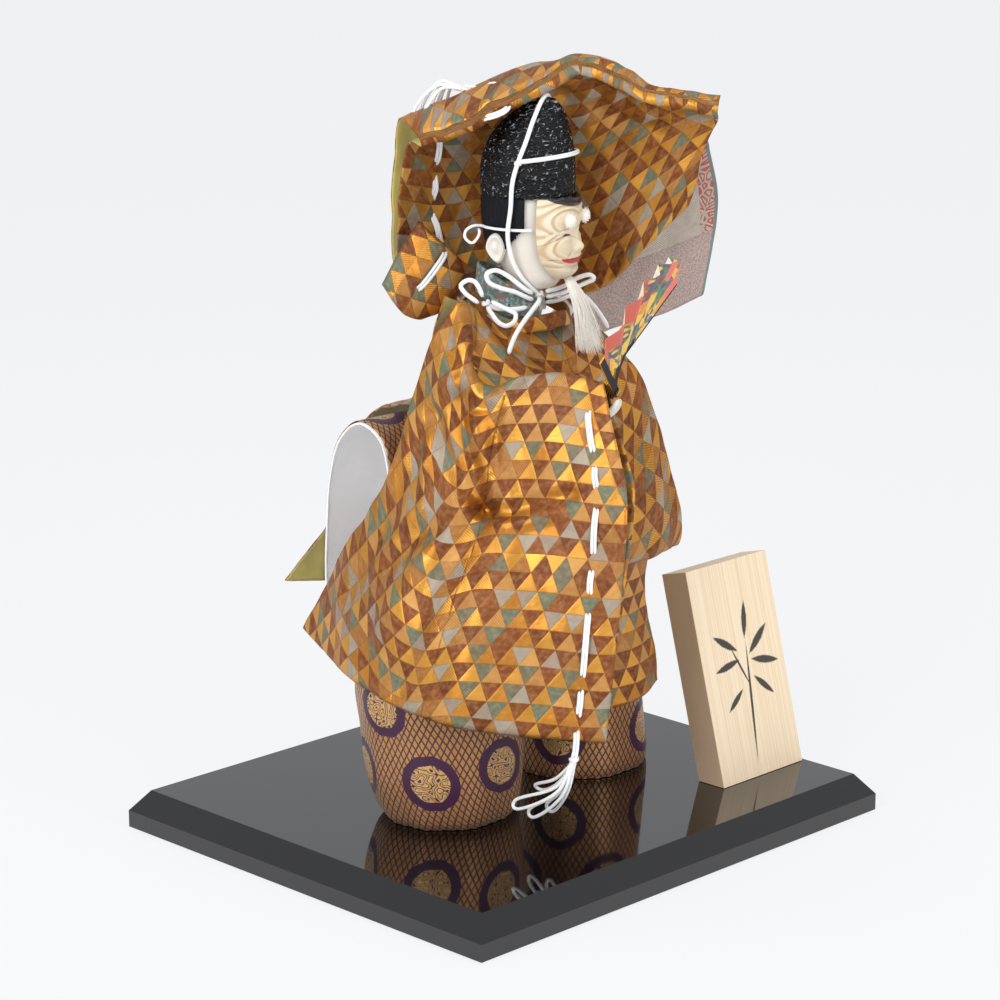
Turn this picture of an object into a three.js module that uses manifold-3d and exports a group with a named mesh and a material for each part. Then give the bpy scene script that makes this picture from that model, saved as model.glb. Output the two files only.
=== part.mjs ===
// A Noh dancer doll on a lacquered display board, with its wooden plaque.
// Millimetres, +Z up. The origin is the middle of the board's underside. The doll stands facing -Y,
// with its head turned to its left, its right hand holding a fan and its left sleeve thrown over its head.
import * as THREE from "three";
import { mergeVertices } from "three/addons/utils/BufferGeometryUtils.js";
import Module from "manifold-3d";

const wasm = await Module();
wasm.setup();

// Display board
const BOARD_WIDTH = 300;
const BOARD_DEPTH = 265;
const BOARD_SIDE = 9;
const BOARD_CHAMFER = 11.3;
const BOARD_INSET = 8.7;

// Wooden plaque, leaning back on its prop
const PLAQUE_WIDTH = 65;
const PLAQUE_HEIGHT = 117;
const PLAQUE_THICKNESS = 17;
const PLAQUE_LEAN = 14.6;
const PLAQUE_X = 106;
const PLAQUE_Y = -90.5;
const PROP_WIDTH = 14;
const PROP_HEIGHT = 34;
const PROP_REACH = 16;

// Clearances and cloth
const GAP = 0.3;
const BROCADE = 1.6;

// Standing rods
const ROD_DIAMETER = 4;
const ROD_SINK = 8;
const ROD_HEIGHT = 132;

// Figure
const LOOK_TURN = -45.26;
const FACE_TURN = -22;
const FLARE_HALF = 45;
const FLARE_CLOTH = 2.2;
const HAKAMA_CLOTH = 2;
const ROD_FEET = [
  [-44, -8],
  [44, -2],
];
const NECK_X = 3;
const NECK_BASE = 254;
const PEG_FOOT = 236;
const PEG_TOP = 270;
const ARM_DIAMETER = 13;
const WRIST_DIAMETER = 8;
const SLEEVE_HEM = 7;
const COLLAR_HEIGHT = 8;
const WHITE_COLLAR_PLEAT = 1.6;
const UNDER_ROBE = 2.4;
const SASH = 2.2;

// Head, mask and hat
const FACE_WALL = 2.2;
const MASK_TOP = 316.4;
const MASK_FLATNESS = 0.95;
const MOUTH_Z = 285.5;
const CHIN_Z = 274.6;
const NOSE_Z = 291;
const NOSE_REACH = 3.2;
const EYE_Y = 10;
const EYE_Z = 297.5;
const EYE_SLOPE = -8;
const BROW_Y = 9.6;
const BROW_Z = 305.5;
const BEARD_X = 30.4;
const BEARD_Z = 274.6;
const BEARD_LENGTH = 37;
const BEARD_FORWARD = 12;
const BEARD_SIDE = -10;
const BEARD_SWING = 1.4;
const BEARD_ROWS = 2;
const BEARD_COLUMNS = 4;
const HAT_WALL = 1.5;
const HAT_RIM = 317;
const HAIR_THICKNESS = 2.4;
const HAIRLINE_X = 13.4;
const HAIRLINE_Z = 302;
const HAIRLINE_SLOPE = 45;
const HAIR_FOOT = 283;
const EAR_X = -0.5;
const EAR_Y = 16.6;
const EAR_Z = 289.5;
const NECK_PEG = 9;

// Fan
const FAN_RIB = 69.5;
const FAN_GUARD_WIDTH = 4;
const FAN_RIB_WIDTH = 2.6;
const FAN_RIB_THICKNESS = 0.8;
const FAN_STEP = 1.1;
const FAN_RIBS = 8;
const FAN_OPEN = 111;
const FAN_FROM = -25;
const FAN_HANDLE = 8;
const RIVET_HEAD = 3.6;
const LEAF_RISE = 1.2;
const PLEAT_RISE = 4;
const RIVET_DIAMETER = 1.6;
const FAN_CLEARANCE = 1.4;
const LEAF_START = 27;
const LEAF_THICKNESS = 0.4;

// Lacing: share of each sleeve's width at which it runs
const RIGHT_LACING = 0.925;
const LEFT_LACING = 0.14;

// White cords
const HAT_CORD = 2.6;
const LACING = 2.2;
const STRAND = 1.7;
const MASK_CORD = 1.5;
const BOW_CORD = 2.4;

const BOARD_TOP = BOARD_SIDE + BOARD_CHAMFER;
const rad = THREE.MathUtils.degToRad;
const V = (x, y, z) => new THREE.Vector3(x, y, z);

const finishes = {
  lacquer: { color: 0x0b0b0d, roughness: 0.08, metalness: 0 },
  plaqueWood: { color: 0xe6cfa8, roughness: 0.55, metalness: 0 },
  steel: { color: 0x9a9a9a, roughness: 0.35, metalness: 1 },
  straw: { color: 0xc2a878, roughness: 0.9, metalness: 0 },
  brocade: { color: 0xb8792f, roughness: 0.45, metalness: 0.1 },
  hakama: { color: 0x6d4350, roughness: 0.5, metalness: 0.1 },
  white: { color: 0xf2f0ec, roughness: 0.7, metalness: 0 },
  teal: { color: 0x4d7474, roughness: 0.6, metalness: 0 },
  beige: { color: 0xb5a692, roughness: 0.7, metalness: 0 },
  gofun: { color: 0xf4efe6, roughness: 0.4, metalness: 0 },
  ivory: { color: 0xecdcbd, roughness: 0.4, metalness: 0 },
  hair: { color: 0x12141c, roughness: 0.5, metalness: 0 },
  hat: { color: 0x0c0c0d, roughness: 0.2, metalness: 0 },
  horsehair: { color: 0xf2ead8, roughness: 0.6, metalness: 0 },
  ribs: { color: 0x14110f, roughness: 0.3, metalness: 0 },
  leaf: { color: 0xd99a2b, roughness: 0.6, metalness: 0 },
  brass: { color: 0xc9a227, roughness: 0.3, metalness: 1 },
};

// Closed meshes from shared vertices

function solidMesh(points, triangles) {
  const positions = new Float32Array(points.flatMap((p) => [p.x, p.y, p.z]));
  let volume = 0;
  for (const [a, b, c] of triangles) {
    volume += points[a].dot(points[b].clone().cross(points[c]));
  }
  const index = triangles.flatMap(([a, b, c]) => (volume < 0 ? [a, c, b] : [a, b, c]));
  const geometry = new THREE.BufferGeometry();
  geometry.setAttribute("position", new THREE.BufferAttribute(positions, 3));
  geometry.setIndex(index);
  return geometry;
}

// A wall between two grids of points. A wrapped grid closes on itself along its second index.
function shell(front, back, wrap = false) {
  const across = front.length;
  const along = front[0].length;
  const points = [...front.flat(), ...back.flat()];
  const triangles = [];
  const quad = (a, b, c, d) => triangles.push([a, b, c], [a, c, d]);
  const f = (i, j) => i * along + (j % along);
  const b = (i, j) => across * along + f(i, j);
  const last = wrap ? along : along - 1;
  for (let i = 0; i < across - 1; i++) {
    for (let j = 0; j < last; j++) {
      quad(f(i, j), f(i + 1, j), f(i + 1, j + 1), f(i, j + 1));
      quad(b(i, j), b(i, j + 1), b(i + 1, j + 1), b(i + 1, j));
    }
  }
  for (let j = 0; j < last; j++) {
    quad(f(0, j), f(0, j + 1), b(0, j + 1), b(0, j));
    quad(f(across - 1, j + 1), f(across - 1, j), b(across - 1, j), b(across - 1, j + 1));
  }
  if (!wrap) {
    for (let i = 0; i < across - 1; i++) {
      quad(f(i + 1, 0), f(i, 0), b(i, 0), b(i + 1, 0));
      quad(f(i, along - 1), f(i + 1, along - 1), b(i + 1, along - 1), b(i, along - 1));
    }
  }
  return solidMesh(points, triangles);
}

// A solid through a stack of rings with as many points each.
function loft(rings) {
  const count = rings[0].length;
  const middle = (ring) => ring.reduce((sum, p) => sum.add(p), V(0, 0, 0)).divideScalar(count);
  const points = [...rings.flat(), middle(rings[0]), middle(rings[rings.length - 1])];
  const foot = rings.length * count;
  const triangles = [];
  for (let m = 0; m < count; m++) {
    const next = (m + 1) % count;
    for (let k = 0; k < rings.length - 1; k++) {
      const a = k * count + m;
      const b = k * count + next;
      triangles.push([a, b, b + count], [a, b + count, a + count]);
    }
    triangles.push([foot, next, m]);
    triangles.push([foot + 1, foot - count + m, foot - count + next]);
  }
  return solidMesh(points, triangles);
}

// An oval ring: middle, half length along x, half width along y.
function oval([x, y, z, rx, ry], count, swell = 0) {
  const ring = [];
  for (let m = 0; m < count; m++) {
    const turn = (2 * Math.PI * m) / count;
    ring.push(V(x + (rx + swell) * Math.cos(turn), y + (ry + swell) * Math.sin(turn), z));
  }
  return ring;
}

const ovals = (sections, count, swell = 0) => loft(sections.map((s) => oval(s, count, swell)));

function solidOf(geometry) {
  const plain = geometry.clone();
  plain.deleteAttribute("normal");
  plain.deleteAttribute("uv");
  const merged = mergeVertices(plain, 1e-4);
  return new wasm.Manifold(
    new wasm.Mesh({
      numProp: 3,
      vertProperties: new Float32Array(merged.attributes.position.array),
      triVerts: new Uint32Array(merged.index.array),
    }),
  );
}

function geometryOf(solid) {
  const mesh = solid.getMesh();
  const geometry = new THREE.BufferGeometry();
  geometry.setAttribute("position", new THREE.BufferAttribute(mesh.vertProperties, 3));
  geometry.setIndex(new THREE.BufferAttribute(mesh.triVerts, 1));
  return geometry;
}

// What is left of a geometry once tools are taken from it, without loose crumbs.
function cut(geometry, ...tools) {
  let solid = solidOf(geometry);
  for (const tool of tools) {
    solid = solid.subtract(solidOf(tool));
  }
  const bodies = solid.decompose();
  bodies.sort((a, b) => b.volume() - a.volume());
  return geometryOf(bodies[0]);
}

function join(...geometries) {
  const [first, ...rest] = geometries.map(solidOf);
  return geometryOf(rest.reduce((sum, next) => sum.add(next), first));
}

function moved(geometry, x, y, z) {
  return geometry.clone().translate(x, y, z);
}

// Cloth

// A smooth surface through rows of control points, as columns of points.
function drape(rows, across, down) {
  const lines = rows.map(
    (row) => new THREE.CatmullRomCurve3(row.map((p) => V(...p)), false, "centripetal"),
  );
  const grid = [];
  for (let i = 0; i <= across; i++) {
    const stops = lines.map((line) => line.getPoint(i / across));
    const column = new THREE.CatmullRomCurve3(stops, false, "centripetal");
    grid.push(Array.from({ length: down + 1 }, (_, j) => column.getPoint(j / down)));
  }
  return grid;
}

// Which way each point of a grid faces, on the side of a given direction.
function facing(grid, towards) {
  const last = grid.length - 1;
  const end = grid[0].length - 1;
  const at = (i, j) => grid[Math.max(0, Math.min(last, i))][Math.max(0, Math.min(end, j))];
  let sign = 0;
  const normals = grid.map((column, i) =>
    column.map((_, j) => {
      const side = at(i + 1, j).clone().sub(at(i - 1, j));
      const drop = at(i, j + 1).clone().sub(at(i, j - 1));
      const normal = side.cross(drop).normalize();
      sign += normal.dot(towards);
      return normal;
    }),
  );
  return normals.map((column) => column.map((n) => (sign < 0 ? n.negate() : n)));
}

const offset = (grid, normals, reach) =>
  grid.map((column, i) => column.map((p, j) => p.clone().addScaledVector(normals[i][j], reach)));

// Pushes the border of a grid outwards, for a tool that also clears a cloth's edges.
function widened(grid, reach) {
  if (!reach) return grid;
  const step = (p, q) => p.clone().addScaledVector(p.clone().sub(q).normalize(), reach);
  const wide = grid.map((column) => {
    const copy = column.map((p) => p.clone());
    copy[0] = step(column[0], column[1]);
    copy[column.length - 1] = step(column[column.length - 1], column[column.length - 2]);
    return copy;
  });
  const n = grid.length;
  wide[0] = wide[0].map((p, j) => step(p, wide[1][j]));
  wide[n - 1] = wide[n - 1].map((p, j) => step(p, wide[n - 2][j]));
  return wide;
}

// A single thickness of cloth on one side of a grid.
function sheet(grid, towards, thickness, grow = 0) {
  const normals = facing(grid, towards);
  const wide = widened(grid, grow);
  return shell(offset(wide, normals, -grow), offset(wide, normals, thickness + grow));
}

// A sewn bag, open at both ends: one layer lies on the grid and the other stands off by depths[j].
function bag(grid, towards, depths, wall, grow = 0) {
  const normals = facing(grid, towards);
  const wide = widened(grid, grow);
  const end = grid[0].length - 1;
  const outer = [];
  const inner = [];
  wide.forEach((column, i) => {
    const place = (j, reach, slide) => {
      const near = Math.min(end, Math.max(0, j + (j < end / 2 ? 1 : -1)));
      const along = grid[i][near].clone().sub(grid[i][j]).normalize();
      const fold = j === 0 || j === end ? slide : 0;
      return column[j].clone().addScaledVector(normals[i][j], reach).addScaledVector(along, fold);
    };
    const front = column.map((_, j) => place(j, -grow, 0));
    const back = column.map((_, j) => place(j, depths[j] + grow, 0));
    const slide = wall + grow;
    const frontIn = column.map((_, j) => place(j, wall + grow, slide));
    const backIn = column.map((_, j) => place(j, depths[j] - wall - grow, slide));
    outer.push([...front, ...back.reverse()]);
    inner.push([...frontIn, ...backIn.reverse()]);
  });
  return shell(outer, inner, true);
}

// Values spread along a cloth's length, from a few given ones.
function spread(values, count) {
  return Array.from({ length: count + 1 }, (_, j) => {
    const t = (j / count) * (values.length - 1);
    const k = Math.min(values.length - 2, Math.floor(t));
    return THREE.MathUtils.lerp(values[k], values[k + 1], t - k);
  });
}

// Cords

function curveThrough(points) {
  return new THREE.CatmullRomCurve3(points.map((p) => (p.isVector3 ? p : V(...p))), false, "centripetal");
}

function cord(points, diameter, steps, sides = 8) {
  const outline = Array.from({ length: sides }, (_, m) => {
    const turn = (2 * Math.PI * m) / sides;
    return new THREE.Vector2((diameter / 2) * Math.cos(turn), (diameter / 2) * Math.sin(turn));
  });
  return new THREE.ExtrudeGeometry(new THREE.Shape(outline), {
    steps,
    extrudePath: curveThrough(points),
    bevelEnabled: false,
  });
}

function rod(diameter, from, to, sides = 16) {
  const length = to - from;
  const geometry = new THREE.CylinderGeometry(diameter / 2, diameter / 2, length, sides);
  return geometry.rotateX(Math.PI / 2).translate(0, 0, from + length / 2);
}

// The display board, with a chamfer round its top

function boardGeometry(rodFeet) {
  const ring = (inset, z) => {
    const x = BOARD_WIDTH / 2 - inset;
    const y = BOARD_DEPTH / 2 - inset;
    return [V(-x, -y, z), V(x, -y, z), V(x, y, z), V(-x, y, z)];
  };
  const block = loft([ring(0, 0), ring(0, BOARD_SIDE), ring(BOARD_INSET, BOARD_TOP)]);
  const holes = rodFeet.map(([x, y]) =>
    moved(rod(ROD_DIAMETER + 2 * GAP, BOARD_TOP - ROD_SINK - GAP, BOARD_TOP + 1), x, y, 0),
  );
  return cut(block, ...holes);
}

// The plaque's side outline, seen from the right: y to the back, z up.
const leanBack = Math.tan(rad(PLAQUE_LEAN));
const plaqueDepth = PLAQUE_THICKNESS / Math.cos(rad(PLAQUE_LEAN));
const plaqueRise = PLAQUE_HEIGHT * Math.cos(rad(PLAQUE_LEAN));

function sideProfile(outline, width) {
  const rows = [-width / 2, width / 2].map((x) => outline.map(([y, z]) => V(x, y, z)));
  return loft(rows);
}

function plaqueGeometry() {
  const topDrop = PLAQUE_THICKNESS * Math.sin(rad(PLAQUE_LEAN));
  const outline = [
    [0, GAP],
    [plaqueDepth, GAP],
    [PLAQUE_THICKNESS * Math.cos(rad(PLAQUE_LEAN)) + plaqueRise * leanBack, plaqueRise - topDrop],
    [plaqueRise * leanBack, plaqueRise],
  ];
  return sideProfile(outline, PLAQUE_WIDTH);
}

function propGeometry() {
  const back = (z) => plaqueDepth + z * leanBack + GAP;
  const outline = [
    [back(GAP), GAP],
    [back(0) + PROP_REACH, GAP],
    [back(PROP_HEIGHT) + 1, PROP_HEIGHT],
    [back(PROP_HEIGHT), PROP_HEIGHT],
  ];
  return sideProfile(outline, PROP_WIDTH);
}

// Places of the figure. Heights are over the board's top. The figure faces -Y.

const figure = new THREE.Group();
figure.position.z = BOARD_TOP;
const look = new THREE.Group();
look.rotation.z = rad(LOOK_TURN);
figure.add(look);
// The face is turned a little further to its right, about the neck.
const headGroup = new THREE.Group();
headGroup.position.x = NECK_X;
headGroup.rotation.z = rad(FACE_TURN);
look.add(headGroup);
const root = new THREE.Group();
root.add(figure);

// A geometry of the look's frame (x where the face looks, y to its left) in the figure's frame, and back.
const toLook = (geometry) => geometry.clone().rotateZ(-rad(LOOK_TURN));
const toFigure = (geometry) => geometry.clone().rotateZ(rad(LOOK_TURN));

function add(group, name, geometry, finish) {
  const flat = geometry.index ? geometry.toNonIndexed() : geometry;
  flat.computeVertexNormals();
  const mesh = new THREE.Mesh(flat, new THREE.MeshStandardMaterial(finishes[finish]));
  mesh.name = name;
  group.add(mesh);
  return mesh;
}

// Cloth surfaces, row by row from the top down

// Right sleeve: its outer layer, from the shoulder and forearm to the hem, body side to cuff.
const RIGHT_SLEEVE = [
  [[-52, -19, 271], [-57, -32, 250], [-56, -42, 233], [-46, -57, 238], [-36, -73, 241], [-26, -93, 237]],
  [[-62, -9, 248], [-67, -30, 234], [-65, -42, 217], [-58, -56, 216], [-46, -78, 218], [-31, -103, 219]],
  [[-69, -1, 218], [-74, -22, 207], [-73, -41, 191], [-64, -55, 182], [-54, -83, 184], [-36, -118, 187]],
  [[-75, 7, 184], [-81, -15, 172], [-84, -38, 156], [-76, -62, 149], [-62, -86, 149], [-41, -121, 147]],
  [[-80, 37, 137], [-96, -5, 127], [-101, -38, 119], [-93, -65, 112], [-72, -91, 106], [-46, -121, 104]],
  [[-86, 66, 88], [-104, 9, 78], [-107, -29, 72], [-101, -60, 68], [-80, -92, 65], [-50, -119, 61]],
];
const RIGHT_SLEEVE_DEPTHS = [17, 19, 16, 11, 8, SLEEVE_HEM];

// Left sleeve, thrown over the head: the layer that the head sees, in the frame of the look,
// from the lower edge behind the neck up to the rolled lip over the hat.
const LEFT_SLEEVE = [
  [[-52, 24, 256], [-34, 32, 250], [-12, 44, 252], [19, 50, 254], [50, 46, 258], [73, 40, 280],
  [95, 36, 303]],
  [[-56, 20, 283], [-34, 34, 276], [-12, 46, 279], [19, 52, 278], [46, 46, 279], [75, 38, 294],
  [99, 33, 315]],
  [[-54, 15, 310], [-34, 32, 305], [-12, 44, 303], [19, 50, 308], [45, 42, 309], [75, 34, 315],
  [101, 30, 329]],
  [[-52, 9, 330], [-32, 24, 329], [-11, 34, 328], [18, 40, 334], [44, 34, 339], [76, 29, 340],
  [106, 26, 343]],
  [[-48, 0, 341], [-30, 6, 348], [-10, 6, 357], [18, 6, 368], [43, 8, 372], [77, 18, 355], [109, 20, 351]],
  [[-41, -14, 340], [-25, -18, 345], [-7, -20, 354], [16, -16, 366], [36, -5, 377], [72, 10, 362],
  [108, 12, 355]],
];
const LEFT_SLEEVE_DEPTHS = [5, 6, 7, 9, 14, 9];
// Its lower corner, turned forward.
const TURNED_CORNER = [
  [[-63, -4, 270], [-54, 2, 286], [-44, 8, 301]],
  [[-56, -6, 260], [-43, 1, 272], [-31, 9, 289]],
  [[-48, -2, 251], [-32, 6, 256], [-17, 17, 275]],
  [[-36, 20, 250], [-20, 33, 257], [-9, 44, 268]],
];
const CORNER_DEPTH = 4.5;

const INNER_SLEEVE = [
  [[34, 54.6, 274], [52, 61, 292], [80, 63, 317], [107, 62, 334]],
  [[34, 53, 253], [52, 60, 268], [82, 64, 285], [113, 66, 302]],
  [[38, 52, 224], [56, 60, 233], [84, 66, 240], [106, 68, 250]],
];
const INNER_SLEEVE_DEPTHS = [17, 15, 6];

const ROBE_FRONT = [
  [[-44, -10, 270], [-22, -20, 254], [2, -29, 249], [28, -23, 255], [42, 0, 261]],
  [[-52, -19, 245], [-27, -36, 240], [0, -39, 238], [24, -37, 239], [42, -24, 246]],
  [[-50, -38, 221], [-23, -57, 215], [0, -61, 214], [22, -62, 215], [42, -57, 222]],
  [[-34, -62, 186], [-18, -73, 183], [0, -78, 182], [22, -79, 182], [42, -76, 182]],
  [[-34, -76, 158], [-18, -85, 154], [0, -90, 153], [22, -90, 153], [42, -86, 153]],
  [[-34, -74, 142], [-18, -82, 139], [0, -87, 138], [22, -87, 138], [42, -84, 139]],
  [[-34, -64, 140], [-18, -68, 137], [0, -70, 136], [22, -70, 136], [42, -68, 137]],
];
const ROBE_SKIRT = [
  [[-33, -63.6, 142], [-18, -67.5, 139], [0, -69.5, 138], [20, -69.5, 138], [38, -67.9, 138.6]],
  [[-36, -62, 108], [-18, -66, 108], [2, -64, 107], [20, -66, 107], [40, -62, 108]],
  [[-36, -64, 82], [-18, -69, 81], [3, -66, 81], [24, -69, 82], [46, -63, 84]],
  [[-36, -66, 54], [-18, -71, 53], [4, -68, 54], [28, -71, 56], [50, -64, 60]],
];
const ROBE_BACK = [
  [[-42, 0, 268], [-19, 10, 260], [4, 17.8, 261], [26, 10, 258], [42, 8, 257]],
  [[-42, 8, 250], [-20, 24, 248], [2, 29, 248], [24, 27, 248], [42, 14, 248]],
  [[-40, 12, 226], [-18, 28, 224], [2, 32, 224], [22, 30, 224], [42, 16, 226]],
  [[-38, 24, 210], [-18, 36, 211], [2, 38, 211], [22, 38, 211], [44, 34, 210]],
  [[-22, 58, 199], [-6, 59, 200], [10, 60, 200], [28, 59, 200], [47, 57, 199]],
  [[-16, 86, 188], [-4, 87, 188], [12, 87, 188], [29, 87, 188], [48, 86, 188]],
  [[-25, 97, 160], [-8, 98, 160], [8, 98, 160], [28, 98, 160], [48, 97, 160]],
  [[-32, 101, 130], [-14, 100, 130], [6, 104, 130], [28, 100, 130], [50, 103, 130]],
  [[-41, 128, 94], [-18, 118, 92], [6, 126, 91], [30, 118, 92], [54, 126, 94]],
];
// The stiff back of the hakama: its lining seen from the side, from the waist over and down.
const FLARE = [
  [40, 150], [41, 172], [47, 187], [62, 193], [77, 182], [85, 160], [88, 131], [89, 104], [85, 74],
];

// Bodies inside the cloth, as ovals: middle x and y, height, half widths along x and y
const RIGHT_LEG = [
  [-52, -10, GAP, 33, 31],
  [-52, -10, 5, 37, 35],
  [-53, -9, 22, 41, 40],
  [-54, -8, 48, 42, 43],
  [-55, -8, 74, 44, 43],
  [-45, -8, 99, 38, 38],
];
const LEFT_LEG = [
  [56, -3, GAP, 37, 32],
  [56, -3, 5, 38, 34],
  [55, -3, 25, 36, 34],
  [53, -3, 50, 34, 34],
  [51, -2, 74, 34, 35],
  [47, -1, 99, 35, 35],
];
const SEAT = [
  [3, -4, 99 + GAP, 84, 42],
  [2, -2, 118, 72, 43],
  [0, 0, 140, 58, 41],
  [0, 1, 165, 48, 36],
  [0, 2, 188, 45, 34],
  [0, 2, 202, 42, 32],
];
const TORSO = [
  [0, 0, 118, 30, 22],
  [0, 0, 150, 30, 22],
  [0, 0, 180, 31, 22],
  [0, 0, 210, 35, 23],
  [0, -1, 234, 37, 23],
  [0, -2, 244, 30, 20],
  [1, -2, 250, 18, 15],
  [2, -2, NECK_BASE, 12, 12],
];
const HEAD = [
  [NECK_X, 0, NECK_BASE + 1, 8.5, 8.5],
  [5, 0, 263, 9, 8.5],
  [11, 0, 267.5, 9, 8.5],
  [15.5, 0, 270, 11, 10],
  [16, 0, 274, 13.5, 13],
  [14.5, 0, 280, 16, 15.2],
  [12.5, 0, 287, 18, 17],
  [11.5, 0, 294, 19.6, 18],
  [11, 0, 304, 20.5, 19],
  [11, 0, 316, 20.5, 18.5],
  [11, 0, 327, 15, 13.5],
  [11, 0, 333, 7, 6],
];
const HAT = [
  [12, 0, HAT_RIM, 24.2, 22.5],
  [12, 0, HAT_RIM + 13, 24.6, 22],
  [13, 0, HAT_RIM + 25, 22.5, 19.5],
  [15.5, 0, HAT_RIM + 35, 18, 15],
  [19, 0, HAT_RIM + 43, 11.5, 9.5],
  [22, 0, HAT_RIM + 48, 4.5, 4],
];

const sleeveGrid = drape(RIGHT_SLEEVE, 12, 10);
const sleeveDepths = spread(RIGHT_SLEEVE_DEPTHS, 10);
const hoodGrid = drape(LEFT_SLEEVE, 12, 10);
const hoodDepths = spread(LEFT_SLEEVE_DEPTHS, 10);
const cornerGrid = drape(TURNED_CORNER, 4, 6);
const innerSleeveGrid = drape(INNER_SLEEVE, 7, 6);
const innerSleeveDepths = spread(INNER_SLEEVE_DEPTHS, 6);
const frontGrid = drape(ROBE_FRONT, 8, 12);
const skirtGrid = drape(ROBE_SKIRT, 8, 5);
const backGrid = drape(ROBE_BACK, 8, 14);
const flareRows = FLARE.map(([y, z]) => [-1, -0.33, 0.33, 1].map((side) => [side * FLARE_HALF, y, z]));
const flareGrid = drape(flareRows, 4, 16);

const SIDEWAYS = V(1, 0, 0);
const BACKWARDS = V(0, 1, 0.3);
const OVER_HEAD = V(0, 1, 0.5);
const BEHIND_CORNER = V(-0.5, 1, 0);

const rightSleeve = (grow) => bag(sleeveGrid, SIDEWAYS, sleeveDepths, BROCADE, grow);
const hood = (grow) => bag(hoodGrid, OVER_HEAD, hoodDepths, BROCADE, grow);
const turnedCorner = (grow) => sheet(cornerGrid, BEHIND_CORNER, CORNER_DEPTH, grow);
const leftSleeve = (grow) => join(hood(grow), turnedCorner(grow));
const innerSleeve = (grow) => bag(innerSleeveGrid, V(0, 1, 0), innerSleeveDepths, BROCADE, grow);
const robeFront = (grow) => sheet(frontGrid, BACKWARDS, BROCADE, grow);
const robeSkirt = (grow) => sheet(skirtGrid, BACKWARDS, BROCADE, grow);
const robeBack = (grow) => sheet(backGrid, BACKWARDS, BROCADE, grow);
const hakamaBack = (grow) => sheet(flareGrid, V(0, 1, 0.6), FLARE_CLOTH, grow);

// What an inner piece is cut by, in the figure's frame.
const allCloth = [
  rightSleeve(GAP),
  rightSleeve(0),
  toFigure(leftSleeve(GAP)),
  toFigure(leftSleeve(0)),
  toFigure(innerSleeve(GAP)),
  toFigure(innerSleeve(0)),
  robeFront(GAP),
  robeSkirt(GAP),
  robeBack(GAP),
  hakamaBack(GAP),
];

// Where the fan is held, and the room that its ribs need in the sleeve's mouth

const fan = new THREE.Group();
const FAN_PIVOT = [50.8, -74.6, 231.2];
const FAN_ALONG = V(0.514, 0.221, 0.829).normalize();
const FAN_ACROSS = V(-0.166, -0.922, 0.349);
const FAN_AXIS = FAN_ALONG.clone().cross(FAN_ACROSS).normalize();
const fanBasis = new THREE.Matrix4().makeBasis(FAN_ALONG, FAN_AXIS.clone().cross(FAN_ALONG), FAN_AXIS);
fan.quaternion.setFromRotationMatrix(fanBasis);
fan.position.set(...FAN_PIVOT);
look.add(fan);
fan.updateMatrix();
look.updateMatrix();
const fanToFigure = (geometry) => geometry.clone().applyMatrix4(fan.matrix).applyMatrix4(look.matrix);
const ribLevel = (k) => (k - (FAN_RIBS - 1) / 2) * FAN_STEP;
const stackTop = ribLevel(FAN_RIBS - 1) + FAN_RIB_THICKNESS + GAP;
const stackFoot = ribLevel(0) - GAP;

function fanRoom() {
  const sector = new THREE.Shape();
  sector.absarc(0, 0, FAN_RIB / 2, rad(FAN_FROM - 6), rad(FAN_FROM + FAN_OPEN + 12), false);
  sector.lineTo(0, 0);
  const depth = stackTop - stackFoot + 2 * FAN_CLEARANCE;
  const slab = new THREE.ExtrudeGeometry(sector, { depth, bevelEnabled: false, curveSegments: 8 });
  const handle = rod(2 * (FAN_HANDLE + FAN_CLEARANCE), 0, depth);
  return join(slab, handle).translate(0, 0, stackFoot - FAN_CLEARANCE);
}
const fanTool = fanToFigure(fanRoom());

// Lacing: a cord sewn in and out of a layer of cloth, through slits that clear it
function lacingPlace(grid, normals, u, share, reach) {
  const a = u * (grid.length - 1);
  const b = share * (grid[0].length - 1);
  const i = Math.min(grid.length - 2, Math.floor(a));
  const j = Math.min(grid[0].length - 2, Math.floor(b));
  const mix = (field) => {
    const low = field[i][j].clone().lerp(field[i + 1][j], a - i);
    const high = field[i][j + 1].clone().lerp(field[i + 1][j + 1], a - i);
    return low.lerp(high, b - j);
  };
  return mix(grid).addScaledVector(mix(normals).normalize(), reach);
}

const OUTSIDE = -LACING / 2 - 0.4;
const WITHIN = BROCADE / 2;
const INSIDE = BROCADE + LACING / 2 + 0.5;

// Points of a lacing whose stitches show over given shares of the cloth's length.
function stitched(place, stitches, margin) {
  const points = [];
  stitches.forEach(([from, to], k) => {
    points.push(place(from, WITHIN));
    const middle = (from + to) / 2;
    if (to - from > 3 * margin) points.push(place(from + margin, OUTSIDE), place(to - margin, OUTSIDE));
    else points.push(place(middle, OUTSIDE));
    points.push(place(to, WITHIN));
    if (k < stitches.length - 1) points.push(place((to + stitches[k + 1][0]) / 2, INSIDE));
  });
  return points;
}

const laceLength = (points) => Math.round(curveThrough(points).getLength() / (2.9 * LACING));
const lace = (points, grow) => cord(points, LACING + 2 * grow, laceLength(points));
const knot = (p, rx, ry, rz) => new THREE.SphereGeometry(1, 8, 5).scale(rx, ry, rz).translate(p.x, p.y, p.z);

// A lacing that ends in a knot and loose strands. Each strand is given by its bend and its end.
function laced(points, knotAt, strands, grow = 0) {
  const middle = V(...knotAt);
  const tubes = strands.map(([bend, end], k) => {
    const turn = (2 * Math.PI * k) / strands.length;
    const start = middle.clone().add(V(0.8 * Math.cos(turn), 0.8 * Math.sin(turn), 0));
    return cord([start, bend, end], STRAND + 2 * grow, 5);
  });
  return join(lace(points, grow), knot(middle, 2.6 + grow, 2.6 + grow, 2.9 + grow), ...tubes);
}

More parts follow.
